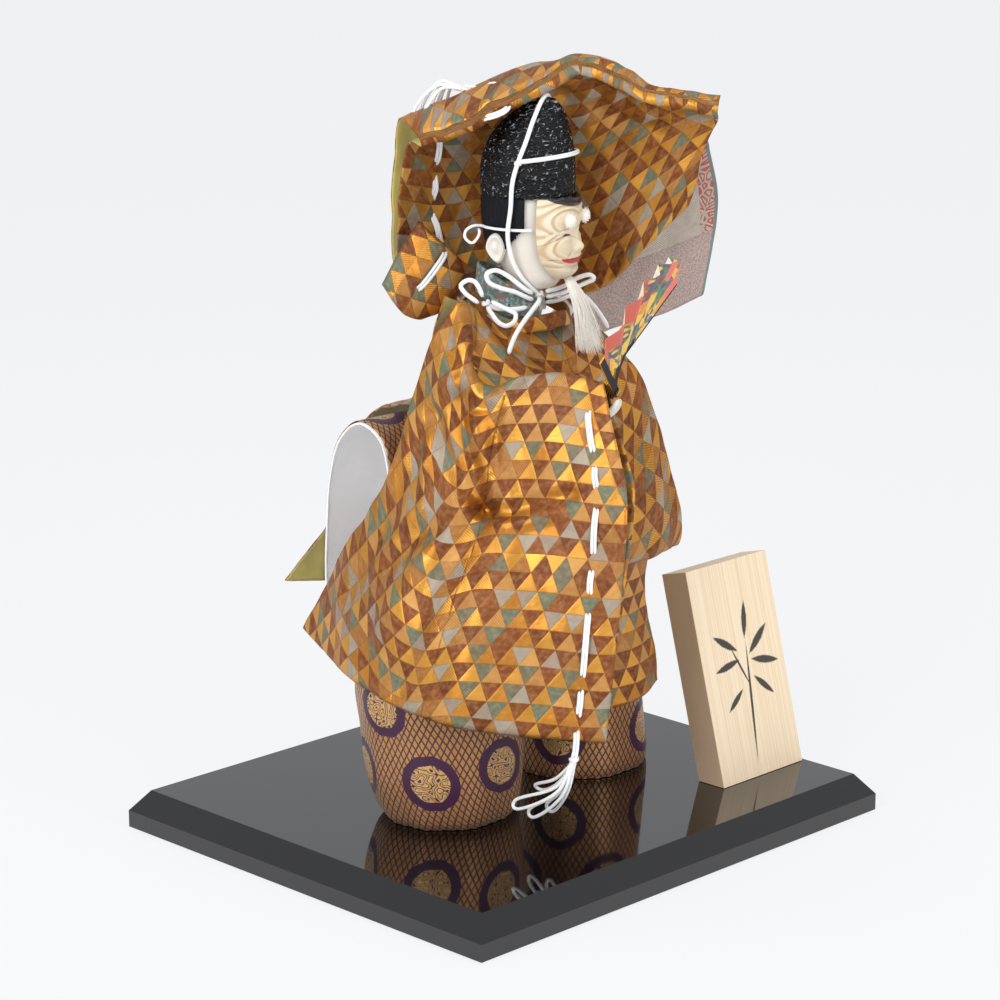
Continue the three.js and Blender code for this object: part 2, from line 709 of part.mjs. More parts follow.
const sleeveNormals = facing(sleeveGrid, SIDEWAYS);
const sleeveLace = (share, reach) => lacingPlace(sleeveGrid, sleeveNormals, RIGHT_LACING, share, reach);
const RIGHT_STITCHES = [
  [0.17, 0.294], [0.335, 0.39], [0.445, 0.56], [0.602, 0.654], [0.698, 0.841], [0.876, 0.934],
];
const RIGHT_KNOT = [-63.4, -110, 54.6];
const RIGHT_STRANDS = [
  [[-65.5, -101, 38], [-67.5, -74, 23]],
  [[-63, -101, 35], [-60.5, -78, 17.5]],
  [[-60.5, -102, 36.5], [-53.5, -84, 20]],
  [[-62, -98, 41], [-53, -76, 29]],
];
const rightLacing = [
  sleeveLace(0.1, INSIDE),
  sleeveLace(0.14, INSIDE),
  ...stitched(sleeveLace, RIGHT_STITCHES, 0.026),
  sleeveLace(0.955, INSIDE - 0.4),
  sleeveLace(0.973, WITHIN),
  sleeveLace(0.985, OUTSIDE - 0.3),
  V(-62.8, -110.6, 59.6),
  V(...RIGHT_KNOT),
];

const LEFT_KNOT = [-21, 6, 368.4];
const OVER_RIDGE = [
  [-8.5, -20.4, 357.4], [-4, -20.8, 358.8], [0.6, -19.4, 361.4], [1.4, -13.4, 367.4], [-1.4, -8, 370.4],
  [-6.5, -3, 371.4], [-12, -0.6, 368.6], [-17, 2, 369.2], [-21, 6, 368.4],
];
const LEFT_STRANDS = [
  [[-32, 7, 371.5], [-42.5, 9, 353]],
  [[-30, 10, 370.5], [-38, 14, 354]],
  [[-33, 4, 369.5], [-44.5, 3, 357]],
  [[-28, 12, 369.5], [-33.5, 18, 356]],
];

const hoodNormals = facing(hoodGrid, OVER_HEAD);
const hoodLace = (share, reach) => lacingPlace(hoodGrid, hoodNormals, LEFT_LACING, share, reach);
const cornerNormals = facing(cornerGrid, BEHIND_CORNER);
const cornerLace = (u, reach) => lacingPlace(cornerGrid, cornerNormals, u, 0.38, reach);
const leftLacing = [
  cornerLace(0.34, CORNER_DEPTH + 1.6),
  cornerLace(0.37, CORNER_DEPTH / 2),
  cornerLace(0.42, OUTSIDE),
  cornerLace(0.88, OUTSIDE),
  cornerLace(0.93, CORNER_DEPTH / 2),
  cornerLace(0.96, CORNER_DEPTH + 2),
  hoodLace(0.33, OUTSIDE - 2),
  hoodLace(0.36, WITHIN),
  hoodLace(0.39, INSIDE),
  hoodLace(0.43, WITHIN),
  hoodLace(0.475, OUTSIDE),
  hoodLace(0.52, WITHIN),
  hoodLace(0.555, INSIDE),
  hoodLace(0.59, WITHIN),
  hoodLace(0.625, OUTSIDE),
  hoodLace(0.735, OUTSIDE),
  hoodLace(0.77, WITHIN),
  hoodLace(0.83, INSIDE),
  hoodLace(0.9, INSIDE + 1),
  lacingPlace(hoodGrid, hoodNormals, 0.2, 0.94, INSIDE + 1.4),
  lacingPlace(hoodGrid, hoodNormals, 0.26, 0.95, INSIDE + 0.6),
  ...OVER_RIDGE,
];
const rightTool = laced(rightLacing, RIGHT_KNOT, RIGHT_STRANDS, GAP);
const leftTool = laced(leftLacing, LEFT_KNOT, LEFT_STRANDS, GAP);
add(figure, "right_sleeve", cut(rightSleeve(0), rightTool, fanTool), "brocade");
add(look, "left_sleeve", cut(leftSleeve(0), leftTool), "brocade");
add(figure, "lacing_right", laced(rightLacing, RIGHT_KNOT, RIGHT_STRANDS), "white");
add(look, "lacing_left", laced(leftLacing, LEFT_KNOT, LEFT_STRANDS), "white");
add(look, "inner_sleeve_left", cut(innerSleeve(0), leftSleeve(GAP)), "beige");
add(figure, "robe_front", cut(robeFront(0), rightSleeve(GAP), rightSleeve(0)), "brocade");
add(figure, "robe_skirt", cut(robeSkirt(0), rightSleeve(GAP)), "brocade");
add(figure, "robe_back", cut(robeBack(0), rightSleeve(GAP), toFigure(leftSleeve(GAP))), "brocade");
add(figure, "hakama_back", cut(hakamaBack(0), robeBack(GAP)), "hakama");

// Standing rods, torso, hakama

function hollow(sections, count, wall, openTop) {
  const inner = sections.map(([x, y, z, rx, ry], k) => {
    const lift = k === 0 ? wall : k === sections.length - 1 ? openTop : 0;
    return [x, y, z + lift, rx - wall, ry - wall];
  });
  return cut(ovals(sections, count), ovals(inner, count));
}

function ring(sections, count, wall, clearance) {
  const grid = (swell) => sections.map((s) => oval(s, count, swell));
  return shell(grid(clearance + wall), grid(clearance), true);
}

const rodTool = ([x, y]) => moved(rod(ROD_DIAMETER + 2 * GAP, -ROD_SINK, ROD_HEIGHT + GAP), x, y, 0);
const rodTools = ROD_FEET.map(rodTool);
ROD_FEET.forEach(([x, y], side) => {
  const name = side ? "leg_rod_left" : "leg_rod_right";
  add(figure, name, moved(rod(ROD_DIAMETER, -ROD_SINK, ROD_HEIGHT), x, y, 0), "steel");
});
add(
  figure,
  "hakama_leg_right",
  cut(hollow(RIGHT_LEG, 20, HAKAMA_CLOTH, 2), ...rodTools, ...allCloth),
  "hakama",
);
add(
  figure,
  "hakama_leg_left",
  cut(hollow(LEFT_LEG, 20, HAKAMA_CLOTH, 2), ...rodTools, ...allCloth),
  "hakama",
);
const seat = ring(SEAT, 22, HAKAMA_CLOTH, -HAKAMA_CLOTH);
add(figure, "hakama_seat", cut(seat, ...allCloth), "hakama");
const pegTool = toFigure(moved(rod(NECK_PEG + 2 * GAP, PEG_FOOT - GAP, 400), NECK_X, 0, 0));
add(figure, "torso_core", cut(ovals(TORSO, 16), pegTool, ...rodTools, ...allCloth), "straw");
add(look, "neck_peg", moved(rod(NECK_PEG, PEG_FOOT, PEG_TOP), NECK_X, 0, 0), "plaqueWood");

add(root, "display_board", boardGeometry(ROD_FEET), "lacquer");
const plaque = add(root, "wooden_plaque", plaqueGeometry(), "plaqueWood");
plaque.position.set(PLAQUE_X, PLAQUE_Y, BOARD_TOP);
const prop = add(root, "plaque_prop", propGeometry(), "plaqueWood");
prop.position.set(PLAQUE_X, PLAQUE_Y, BOARD_TOP);

// Head, hair and hat, placed from the neck's axis

const fromNeck = (sections) => sections.map(([x, ...rest]) => [x - NECK_X, ...rest]);
const headSections = fromNeck(HEAD);
const hatSections = fromNeck(HAT);

function ears(grow) {
  return [-1, 1].map((side) => {
    const ear = new THREE.SphereGeometry(1, 10, 8);
    return ear.scale(4 + grow, 2.6 + grow, 6.2 + grow).translate(EAR_X, side * EAR_Y, EAR_Z);
  });
}

function hairGeometry() {
  const cap = cut(ovals(headSections, 18, HAIR_THICKNESS), ovals(headSections, 18, GAP), ...ears(GAP));
  const front = new THREE.BoxGeometry(80, 80, 80).translate(HAIRLINE_X + 40, 0, HAIRLINE_Z);
  const slope = new THREE.BoxGeometry(80, 80, 80).translate(40, 0, 0);
  slope.rotateY(rad(HAIRLINE_SLOPE)).translate(HAIRLINE_X, 0, HAIRLINE_Z);
  const over = new THREE.BoxGeometry(100, 100, 60).translate(0, 0, HAT_RIM - GAP + 30);
  const under = new THREE.BoxGeometry(100, 100, 60).translate(0, 0, HAIR_FOOT - 30);
  return cut(cap, front, slope, over, under);
}

function hatGeometry() {
  const inner = hatSections.map(([x, y, z, rx, ry], k) => {
    const drop = k === 0 ? 3 : HAT_WALL;
    return [x, y, z - drop, Math.max(1, rx - HAT_WALL), Math.max(1, ry - HAT_WALL)];
  });
  return cut(ovals(hatSections, 20), ovals(inner, 20));
}

// Mask in two pieces, carved from one curve: an upper face, and a jaw hung under it

function profile(stations) {
  const places = stations.map(([share, v]) => V(THREE.MathUtils.lerp(CHIN_Z, MASK_TOP, share), v, 0));
  const line = new THREE.CatmullRomCurve3(places, false, "centripetal");
  return Array.from({ length: 61 }, (_, k) => line.getPoint(k / 60));
}

function readAt(line, z) {
  const k = Math.max(1, line.findIndex((p) => p.x >= z));
  const [a, b] = [line[k - 1], line[k]];
  return THREE.MathUtils.lerp(a.y, b.y, (z - a.x) / (b.x - a.x));
}

// Shares of the mask's height over the chin, with its front, its rear edge and its half width
const MASK_FRONT = profile([
  [-0.038, 27.6], [-0.005, 30], [0.033, 33], [0.105, 35.4], [0.177, 34.8], [0.273, 35.8], [0.321, 35],
  [0.416, 35], [0.512, 34.8], [0.608, 35.6], [0.751, 36.8], [0.895, 36.6], [1.062, 36],
]);
const MASK_REAR = profile([
  [-0.038, 26.8], [0.033, 26.6], [0.129, 24], [0.273, 21.9], [0.56, 20.9], [1.062, 20.9],
]);
const MASK_HALF = profile([
  [-0.038, 4], [0.01, 7.5], [0.081, 11.5], [0.177, 14.8], [0.273, 16.8], [0.392, 18.2], [0.56, 18.9],
  [0.751, 19], [0.895, 18.4], [1.062, 17],
]);

function maskPoint(turn, z) {
  const rear = readAt(MASK_REAR, z);
  const y = readAt(MASK_HALF, z) * Math.sin(turn);
  const depth = (readAt(MASK_FRONT, z) - rear) * Math.cos(turn) ** MASK_FLATNESS;
  const bump = (height, dy, wy, dz, wz) => {
    return height * Math.exp(-(((Math.abs(y) - dy) / wy) ** 2) - ((z - dz) / wz) ** 2);
  };
  const nose = bump(NOSE_REACH, 0, 3.2, NOSE_Z, 3.4) + bump(1.4, 0, 2.4, NOSE_Z + 6, 6);
  const cheeks = bump(3, 9.5, 4.6, 291, 5.5);
  const sockets = bump(-1.3, 8.5, 5, EYE_Z + 1.5, 3);
  return V(rear + depth + nose + cheeks + sockets, y, z);
}

function maskGrid(from, to, across, up, reach = 90) {
  return Array.from({ length: across + 1 }, (_, i) => {
    const turn = rad(THREE.MathUtils.lerp(-reach, reach, i / across));
    return Array.from({ length: up + 1 }, (_, j) => maskPoint(turn, THREE.MathUtils.lerp(from, to, j / up)));
  });
}

const INWARDS = V(-1, 0, 0);
const maskWall = (from, to, across, up, grow = 0) =>
  sheet(maskGrid(from, to, across, up), INWARDS, FACE_WALL, grow);
const maskTool = maskWall(CHIN_Z, MASK_TOP, 14, 10, 2 * GAP);

function eyeSlits() {
  return [-1, 1].map((side) => {
    const slit = new THREE.SphereGeometry(1, 10, 6).scale(9, 4.4, 0.8).rotateX(rad(side * EYE_SLOPE));
    return slit.translate(32, side * EYE_Y, EYE_Z);
  });
}

const pegSocket = rod(NECK_PEG + 2 * GAP, NECK_BASE - 10, PEG_TOP + GAP);
const headSolid = join(ovals(headSections, 18), ...ears(0));
add(headGroup, "head", cut(headSolid, pegSocket, maskTool), "gofun");
add(headGroup, "hair", hairGeometry(), "hair");
add(headGroup, "court_hat", hatGeometry(), "hat");
add(headGroup, "mask_face", cut(maskWall(MOUTH_Z + GAP / 2, MASK_TOP, 16, 11), ...eyeSlits()), "ivory");

const jawGroup = new THREE.Group();
headGroup.add(jawGroup);
const faceTool = maskWall(MOUTH_Z + GAP / 2, MASK_TOP, 16, 11, GAP);
add(jawGroup, "mask_jaw", cut(maskWall(CHIN_Z, MOUTH_Z - GAP / 2, 12, 5), faceTool), "ivory");

function tuft(side) {
  const seat = maskPoint(Math.asin((side * BROW_Y) / readAt(MASK_HALF, BROW_Z)), BROW_Z);
  const ball = new THREE.SphereGeometry(1, 9, 6).scale(2.2, 3.2, 3.4).rotateZ(rad(side * 25));
  return cut(ball.translate(seat.x + 1.2, seat.y, seat.z), maskWall(MOUTH_Z + 4, MASK_TOP, 20, 12, GAP));
}

add(headGroup, "brow_tuft_right", tuft(-1), "horsehair");
add(headGroup, "brow_tuft_left", tuft(1), "horsehair");

const BEARD_BULGE = V(2.6, -1, 0);

// Beard: tapering locks of horsehair from a small root under the chin, falling before the robe
function beardGeometry() {
  const locks = [];
  for (let r = 0; r < BEARD_ROWS; r++) {
    for (let c = 0; c < BEARD_COLUMNS; c++) {
      const u = 2 * (r / (BEARD_ROWS - 1)) - 1;
      const v = 2 * (c / (BEARD_COLUMNS - 1)) - 1;
      const fall = BEARD_LENGTH * (1 - 0.06 * ((r * 5 + c * 3) % 4) - 0.1 * Math.abs(v));
      const at = (t, spreadX, spreadY) =>
        V(BEARD_X + t * BEARD_FORWARD + u * spreadX, t * BEARD_SIDE + v * spreadY, BEARD_Z - t * fall);
      const rings = [
        [at(0, 2.4, 3.2), 1.25],
        [at(0.45, 3.2, 4.2).add(BEARD_BULGE), 1.15],
        [at(1, 4.6, 6), 0.3],
      ].map(([p, radius]) => oval([p.x, p.y, p.z, radius, radius], 5));
      locks.push(loft(rings));
    }
  }
  const rootPad = new THREE.SphereGeometry(1, 10, 6).scale(3.6, 4.4, 1.4);
  rootPad.translate(BEARD_X, 0, BEARD_Z - 1.2);
  return cut(join(rootPad, ...locks), maskTool, ovals(headSections, 18, BEARD_SWING));
}
add(jawGroup, "beard", beardGeometry(), "horsehair");

// White cord netted over the hat: up one side, over the crown and down the other, with a band round the
// front

// The side of a stack of ovals at a place along x and up z.
function sideOf(sections, x, z, side, reach) {
  const k = Math.min(sections.length - 2, Math.max(0, sections.findIndex((s) => s[2] > z) - 1));
  const t = THREE.MathUtils.clamp((z - sections[k][2]) / (sections[k + 1][2] - sections[k][2]), 0, 1);
  const [cx, , , rx, ry] = sections[k].map((v, m) => THREE.MathUtils.lerp(v, sections[k + 1][m], t));
  const half = ry * Math.sqrt(Math.max(0.02, 1 - ((x - cx) / rx) ** 2));
  return V(x, side * (half + reach), z);
}

const cordReach = HAT_CORD / 2 + 0.9;
const JUNCTION = [12.6, 335];
const SIDE_PATH = [
  [10.6, 325, 0.8], [9.3, 312, 3.4], [8.2, 301, 4.3], [7.8, 294, 3.1], [9.5, 284, 2.4], [12.6, 276, 0.8],
];
const sidePath = (side) =>
  SIDE_PATH.map(([x, z, more]) =>
    sideOf(z > HAT_RIM ? hatSections : headSections, x, z, side, cordReach + more),
  );
const crownTop = HAT[HAT.length - 1][2];
const crownPath = (side) => [
  sideOf(hatSections, 15.6, 345, side, cordReach),
  sideOf(hatSections, 17.6, 355, side, cordReach + 0.6),
  V(18.6, side * 5.2, crownTop - 0.2),
];
const chinKnot = V(17.8, -6.8, 266.2);
const overCrown = [
  chinKnot,
  V(15.2, -13, 271.4),
  ...sidePath(-1).reverse(),
  sideOf(hatSections, ...JUNCTION, -1, cordReach),
  ...crownPath(-1),
  V(19, 0, crownTop + HAT_CORD / 2 + 0.6),
  ...crownPath(1).reverse(),
  sideOf(hatSections, ...JUNCTION, 1, cordReach),
  ...sidePath(1),
  V(15.2, 13, 271.4),
  V(17.5, 5, 264.9),
  chinKnot,
];
const bandPath = Array.from({ length: 9 }, (_, k) => {
  const turn = rad(-82 + 20.5 * k);
  const [cx, , , rx, ry] = hatSections[1];
  const swell = cordReach + 0.2;
  const rise = 335 + 3.4 * Math.max(0, Math.cos(turn));
  const shrink = 1.6;
  return V(cx + (rx - shrink + swell) * Math.cos(turn), (ry - shrink + swell) * Math.sin(turn), rise);
});
const junctions = [-1, 1].map((side) => {
  const p = sideOf(hatSections, ...JUNCTION, side, cordReach + 0.2);
  return knot(p, 2.4, 1.7, 2.4);
});
const hatNet = join(
  cord(overCrown, HAT_CORD, 33),
  cord(bandPath, HAT_CORD, 9),
  ...junctions,
  knot(chinKnot, 2.6, 2.4, 2.2),
);
add(headGroup, "hat_cord", cut(hatNet, ovals(hatSections, 20, GAP)), "white");

// What clears the head assembly, seen from the figure's frame.
headGroup.updateMatrix();
look.updateMatrix();
const headToFigure = (geometry) => geometry.clone().applyMatrix4(headGroup.matrix).applyMatrix4(look.matrix);
const headTool = headToFigure(ovals(headSections, 18, GAP));

// Collars round the neck, closed loops of cloth
function loopWall(top, bottom, thickness, count, grow = 0) {
  const ringOf = (points) => {
    const line = new THREE.CatmullRomCurve3(points.map((p) => V(...p)), true, "centripetal");
    return Array.from({ length: count }, (_, k) => line.getPoint(k / count));
  };
  const rows = [ringOf(top), ringOf(bottom)];
  const centre = rows[0].reduce((sum, p) => sum.add(p), V(0, 0, 0)).divideScalar(count);
  const away = (p, reach) => {
    const out = V(p.x - centre.x, p.y - centre.y, 0).normalize();
    return p.clone().addScaledVector(out, reach);
  };
  const lift = [grow, -grow];
  const face = (reach) => rows.map((row, k) => row.map((p) => away(p, reach).add(V(0, 0, lift[k]))));
  return shell(face(thickness + grow), face(-grow), true);
}

const ROBE_COLLAR_TOP = [
  [-15, -19, 256], [-5, -29, 258], [5, -31.5, 259], [16, -27.5, 258], [25, -16, 259], [25, 2, 264],
  [8, 16, 268],
  [-10, 12, 268], [-19, -3, 264],
];
const robeCollarBottom = ROBE_COLLAR_TOP.map(([x, y, z]) => [x * 1.04, y * 1.04, z - COLLAR_HEIGHT]);
const robeCollar = (grow) => loopWall(ROBE_COLLAR_TOP, robeCollarBottom, BROCADE, 28, grow);

// The under robe's crossed collar: open in front, high behind the neck.
function underCollar(grow) {
  const grid = Array.from({ length: 15 }, (_, k) => {
    const turn = rad(THREE.MathUtils.lerp(48, 312, k / 14));
    const at = (reach, z) => V(4 + reach * Math.cos(turn), (reach - 1) * Math.sin(turn), z);
    return [at(17, 271 - 10 * Math.cos(turn)), at(18.5, 256)];
  });
  return sheet(grid, V(-1, 0, 0), BROCADE, grow);
}

// Gathered white collar in the opening.
function whiteCollar() {
  const pleat = (k) => (k % 2 ? WHITE_COLLAR_PLEAT : 0);
  const ringAt = (reach, z, pleated) =>
    Array.from({ length: 40 }, (_, k) => {
      const turn = (2 * Math.PI * k) / 40;
      const r = reach - (pleated ? pleat(k) : 0);
      return V(5 + r * Math.cos(turn), r * Math.sin(turn), z);
    });
  const outer = [ringAt(14, 265, true), ringAt(16.4, 257, true)];
  const inner = [ringAt(11, 265, false), ringAt(12.4, 257, false)];
  return shell(outer, inner, true);
}

const torsoInLook = toLook(ovals(TORSO, 16, GAP));
const chinPath = [V(12.6, -15, 276), V(15.2, -13, 271.4), chinKnot, V(17.5, 5, 264.9), V(15.2, 13, 271.4)];
const chinPiece = join(cord(chinPath, HAT_CORD + 2 * GAP, 10), knot(chinKnot, 3, 2.8, 2.6));
const chinTool = toLook(headToFigure(chinPiece));
add(
  figure,
  "robe_collar",
  cut(robeCollar(0), rightSleeve(GAP), robeFront(GAP), robeBack(GAP), toFigure(leftSleeve(GAP))),
  "brocade",
);
const insideRobe = [toLook(robeCollar(GAP)), toLook(robeFront(GAP)), toLook(robeBack(GAP)), leftSleeve(GAP)];
add(look, "collar_teal", cut(underCollar(0), chinTool, ...insideRobe, toLook(headTool)), "teal");
add(
  look,
  "collar_white",
  cut(whiteCollar(), underCollar(GAP), chinTool, ...insideRobe, toLook(headTool), torsoInLook),
  "white",
);

// Under robe on the body, and the sash round the waist
const wrapped = TORSO.slice(0, 6);
const underRobe = ring(wrapped, 16, UNDER_ROBE, GAP);
add(figure, "under_robe", cut(underRobe, pegTool, ...rodTools, ...allCloth, robeCollar(GAP)), "white");
const sashSections = [
  [0, 0.5, 150, 54, 38],
  [0, 0.7, 161, 50.5, 37],
];
add(figure, "waist_sash", cut(ring(sashSections, 20, SASH, 1.8), ...allCloth), "white");

// A limb or finger: a tube that narrows along a path
function taper(path, from, to, steps, sides) {
  const line = curveThrough(path);
  const frames = line.computeFrenetFrames(steps, false);
  const rings = Array.from({ length: steps + 1 }, (_, k) => {
    const p = line.getPointAt(k / steps);
    const radius = THREE.MathUtils.lerp(from, to, k / steps) / 2;
    return Array.from({ length: sides }, (_, m) => {
      const turn = (2 * Math.PI * m) / sides;
      return p
        .clone()
        .addScaledVector(frames.normals[k], radius * Math.cos(turn))
        .addScaledVector(frames.binormals[k], radius * Math.sin(turn));
    });
  });
  return loft(rings);
}

// Folding fan: ribs stacked on one rivet and joined by pleated gores
const ribAngle = (k) => FAN_FROM + (FAN_OPEN * k) / (FAN_RIBS - 1);

function ribGeometry(k) {
  const guard = k === 0 || k === FAN_RIBS - 1;
  const half = (guard ? FAN_GUARD_WIDTH : FAN_RIB_WIDTH) / 2;
  const reach = guard ? FAN_RIB + 1.5 : FAN_RIB;
  const outline = [
    [-FAN_HANDLE, -1.3], [-FAN_HANDLE + 2, -2], [2, -1.9], [LEAF_START, -half], [reach, -half],
    [reach, half], [LEAF_START, half], [2, 1.9], [-FAN_HANDLE + 2, 2], [-FAN_HANDLE, 1.3],
  ];
  const shape = new THREE.Shape(outline.map(([x, y]) => new THREE.Vector2(x, y)));
  const hole = new THREE.Path();
  hole.absarc(0, 0, RIVET_DIAMETER / 2 + GAP, 0, 2 * Math.PI, true);
  shape.holes.push(hole);
  const flat = { depth: FAN_RIB_THICKNESS, bevelEnabled: false, curveSegments: 5 };
  const rib = new THREE.ExtrudeGeometry(shape, flat);
  return rib.rotateZ(rad(ribAngle(k))).translate(0, 0, ribLevel(k));
}

function goreGeometry(k) {
  const halfWidth = (m) => (m === 0 || m === FAN_RIBS - 1 ? FAN_GUARD_WIDTH : FAN_RIB_WIDTH) / 2 + GAP;
  const columns = [0, 0.5, 1].map((share) => {
    return [LEAF_START + 1, 50, FAN_RIB + LEAF_RISE].map((r) => {
      const from = rad(ribAngle(k)) + halfWidth(k) / r;
      const to = rad(ribAngle(k + 1)) - halfWidth(k + 1) / r;
      const turn = THREE.MathUtils.lerp(from, to, share);
      const level = THREE.MathUtils.lerp(ribLevel(k), ribLevel(k + 1), share) + FAN_RIB_THICKNESS / 2;
      const fold = share === 0.5 ? (PLEAT_RISE * r) / FAN_RIB : 0;
      return V(r * Math.cos(turn), r * Math.sin(turn), level - fold - LEAF_THICKNESS / 2);
    });
  });
  return sheet(columns, V(0, 0, 1), LEAF_THICKNESS);
}

for (let k = 0; k < FAN_RIBS; k++) {
  add(fan, `fan_rib_${k + 1}`, ribGeometry(k), "ribs");
  if (k < FAN_RIBS - 1) add(fan, `fan_leaf_${k + 1}`, goreGeometry(k), "leaf");
}
const rivetHead = (from, to) => rod(RIVET_HEAD, from, to, 12);
const rivet = join(
  rod(RIVET_DIAMETER, stackFoot - 0.5, stackTop + 0.5, 12),
  rivetHead(stackTop, stackTop + 0.8),
  rivetHead(stackFoot - 0.8, stackFoot),
);
add(fan, "fan_rivet", rivet, "brass");

// Right hand: a fist whose fingers and thumb close on both sides of the folded ribs
const toFan = (geometry) =>
  geometry.clone().applyMatrix4(look.matrix.clone().invert()).applyMatrix4(fan.matrix.clone().invert());
const palm = new THREE.SphereGeometry(1, 10, 6).scale(6, 5.4, 8.4).translate(-14.5, -1, 0);
const fingers = [-3.6, -0.6, 2.4, 5].map((y) => {
  const tip = -1.5 - Math.abs(y) * 0.3;
  return taper([[-15, y * 0.8, 5], [-9, y, 8.3], [tip, y, 8]], 3.6, 3, 3, 6);
});
const thumb = taper([[-15, -1, -5], [-9, 0, -8], [-1, 1.5, -7.6]], 4, 3.2, 3, 6);
const fanSlot = rod(2 * (FAN_HANDLE + 1.2), stackFoot - 1.1, stackTop + 1.1, 16);
const handTools = allCloth.map(toFan);
const hand = cut(join(palm, ...fingers, thumb), fanSlot, ...handTools);
add(fan, "hand_right", hand, "gofun");

// Arms
const sleevePlace = (i, j, share) =>
  sleeveGrid[i][j].clone().addScaledVector(sleeveNormals[i][j], sleeveDepths[j] * share);
const wrist = V(-17, -1, 0).applyMatrix4(fan.matrix).applyMatrix4(look.matrix);
const armPath = [
  V(-33, -5, 246), sleevePlace(3, 2, 0.62), sleevePlace(6, 2, 0.5), sleevePlace(8, 1, 0.6), wrist,
];
const wristTool = fanToFigure(new THREE.SphereGeometry(1, 12, 8).scale(7, 7, 9.2).translate(-14.5, -1, 0));

const bodyTool = ring(wrapped, 16, UNDER_ROBE + GAP, 0);
const torsoSolid = ovals(TORSO, 16, GAP);
add(
  figure,
  "arm_right",
  cut(taper(armPath, ARM_DIAMETER, WRIST_DIAMETER, 8, 8), torsoSolid, bodyTool, wristTool, ...allCloth),
  "gofun",
);

const LEFT_ARM = [
  [18, 20, 238], [26, 42, 241], [35, 59, 246], [48, 66, 262], [62, 69, 282], [80, 71, 306], [92, 70, 322],
];
const leftArm = toFigure(taper(LEFT_ARM, ARM_DIAMETER, WRIST_DIAMETER, 8, 8));
add(figure, "arm_left", cut(leftArm, torsoSolid, bodyTool, ...allCloth), "gofun");

// Free cords, in the frame of the look
const CHIN_LOOP_RIGHT = [
  [13.8, -18, 267.6], [9.5, -21.6, 270.8], [6, -22, 273.6], [1, -22, 277.5], [-5, -23.8, 280.5],
  [-9.5, -26, 279],
  [-8.5, -27, 275.2], [-3, -25.6, 272], [5, -22.8, 269.2], [10.7, -20.3, 266.1], [13.9, -17.6, 264.3],
];
const CHIN_LOOP_LEFT = [
  [20.6, -12.2, 267.8], [25, -8.4, 268], [30.5, -4, 269.2], [37, 0.6, 272.4], [43.5, 3.6, 273.4],
  [45.6, 5, 271.2],
  [41, 4.6, 268.9], [35, 1.4, 266.8], [29, -3.6, 265.2], [23.5, -8.2, 264.6], [20.8, -10.4, 264.5],
];
const CHIN_TAIL_RIGHT = [
  [17.2, -15.9, 264.7], [17.2, -20.4, 265.2], [16.7, -27, 264.9], [13.6, -32.5, 261.8],
  [10.4, -37.5, 258.6], [7, -42, 254.4],
  [4.6, -45, 250.6], [2.6, -47.6, 246], [1.6, -49, 242.6],
];
const CHIN_TAIL_LEFT = [
  [20.8, -9, 261.4], [27, -3.4, 261.6], [34, 0, 263.4], [39.6, 1, 263.2], [45.4, 2, 257.6],
  [51, 3.4, 249.4], [53, 4, 245.6],
];
const COLLAR_KNOT = [-10, -29.6, 264.6];
const COLLAR_RUN = [
  [-10, -29.6, 264.6], [-5, -29.4, 262.2], [-1, -29, 261.8], [5, -28.4, 261.4], [11, -26.4, 262.2],
];
const COLLAR_LOOP_BIG = [
  [-11.6, -29.4, 267.9], [-12.8, -28.6, 271.5], [-15.5, -27.6, 275.4], [-19, -27, 276],
  [-22.5, -27.4, 273.4],
  [-20.5, -28.6, 270], [-16.6, -29.6, 267], [-13.5, -30.2, 264.9],
];
const COLLAR_LOOP_SMALL = [
  [-9.2, -32.9, 263.4], [-7, -35.4, 260.6], [-3.5, -37.4, 256.4], [0.5, -38, 254.8], [4.4, -36.6, 256.6],
  [5, -34, 260.2], [1.4, -32.6, 261.9], [-4, -32.6, 264.6], [-7, -32, 266.2],
];
const cordSteps = (points, diameter) =>
  Math.max(6, Math.round(curveThrough(points).getLength() / (2.8 * diameter)));
const cordNode = (group, name, points, diameter) =>
  add(group, name, cord(points, diameter, cordSteps(points, diameter)), "white");

// The least gap between stretches of a cord that lie further apart along it than they are wide.
function leastGap(name, points, diameter) {
  const line = curveThrough(points);
  const count = 120;
  const spots = line.getSpacedPoints(count);
  const apart = Math.ceil((Math.PI * diameter * count) / line.getLength());
  let least = Infinity;
  for (let i = 0; i <= count; i++) {
    for (let j = i + apart; j <= count; j++) {
      least = Math.min(least, spots[i].distanceTo(spots[j]) - diameter);
    }
  }
  console.log(`${name}: least gap to itself ${least.toFixed(2)} mm`);
}
leastGap("chin_loop_right", CHIN_LOOP_RIGHT, BOW_CORD);
leastGap("chin_loop_left", CHIN_LOOP_LEFT, BOW_CORD);
leastGap("collar_loop_big", COLLAR_LOOP_BIG, BOW_CORD);
leastGap("collar_loop_small", COLLAR_LOOP_SMALL, BOW_CORD);

cordNode(look, "chin_loop_right", CHIN_LOOP_RIGHT, BOW_CORD);
cordNode(look, "chin_loop_left", CHIN_LOOP_LEFT, BOW_CORD);
cordNode(look, "chin_tail_right", CHIN_TAIL_RIGHT, BOW_CORD);
cordNode(look, "chin_tail_left", CHIN_TAIL_LEFT, BOW_CORD);
cordNode(look, "collar_loop_big", COLLAR_LOOP_BIG, BOW_CORD);
cordNode(look, "collar_loop_small", COLLAR_LOOP_SMALL, BOW_CORD);
const collarRun = join(cord(COLLAR_RUN, BOW_CORD, 6), knot(V(...COLLAR_KNOT), 2.4, 2.2, 2.2));
add(look, "collar_cord", collarRun, "white");

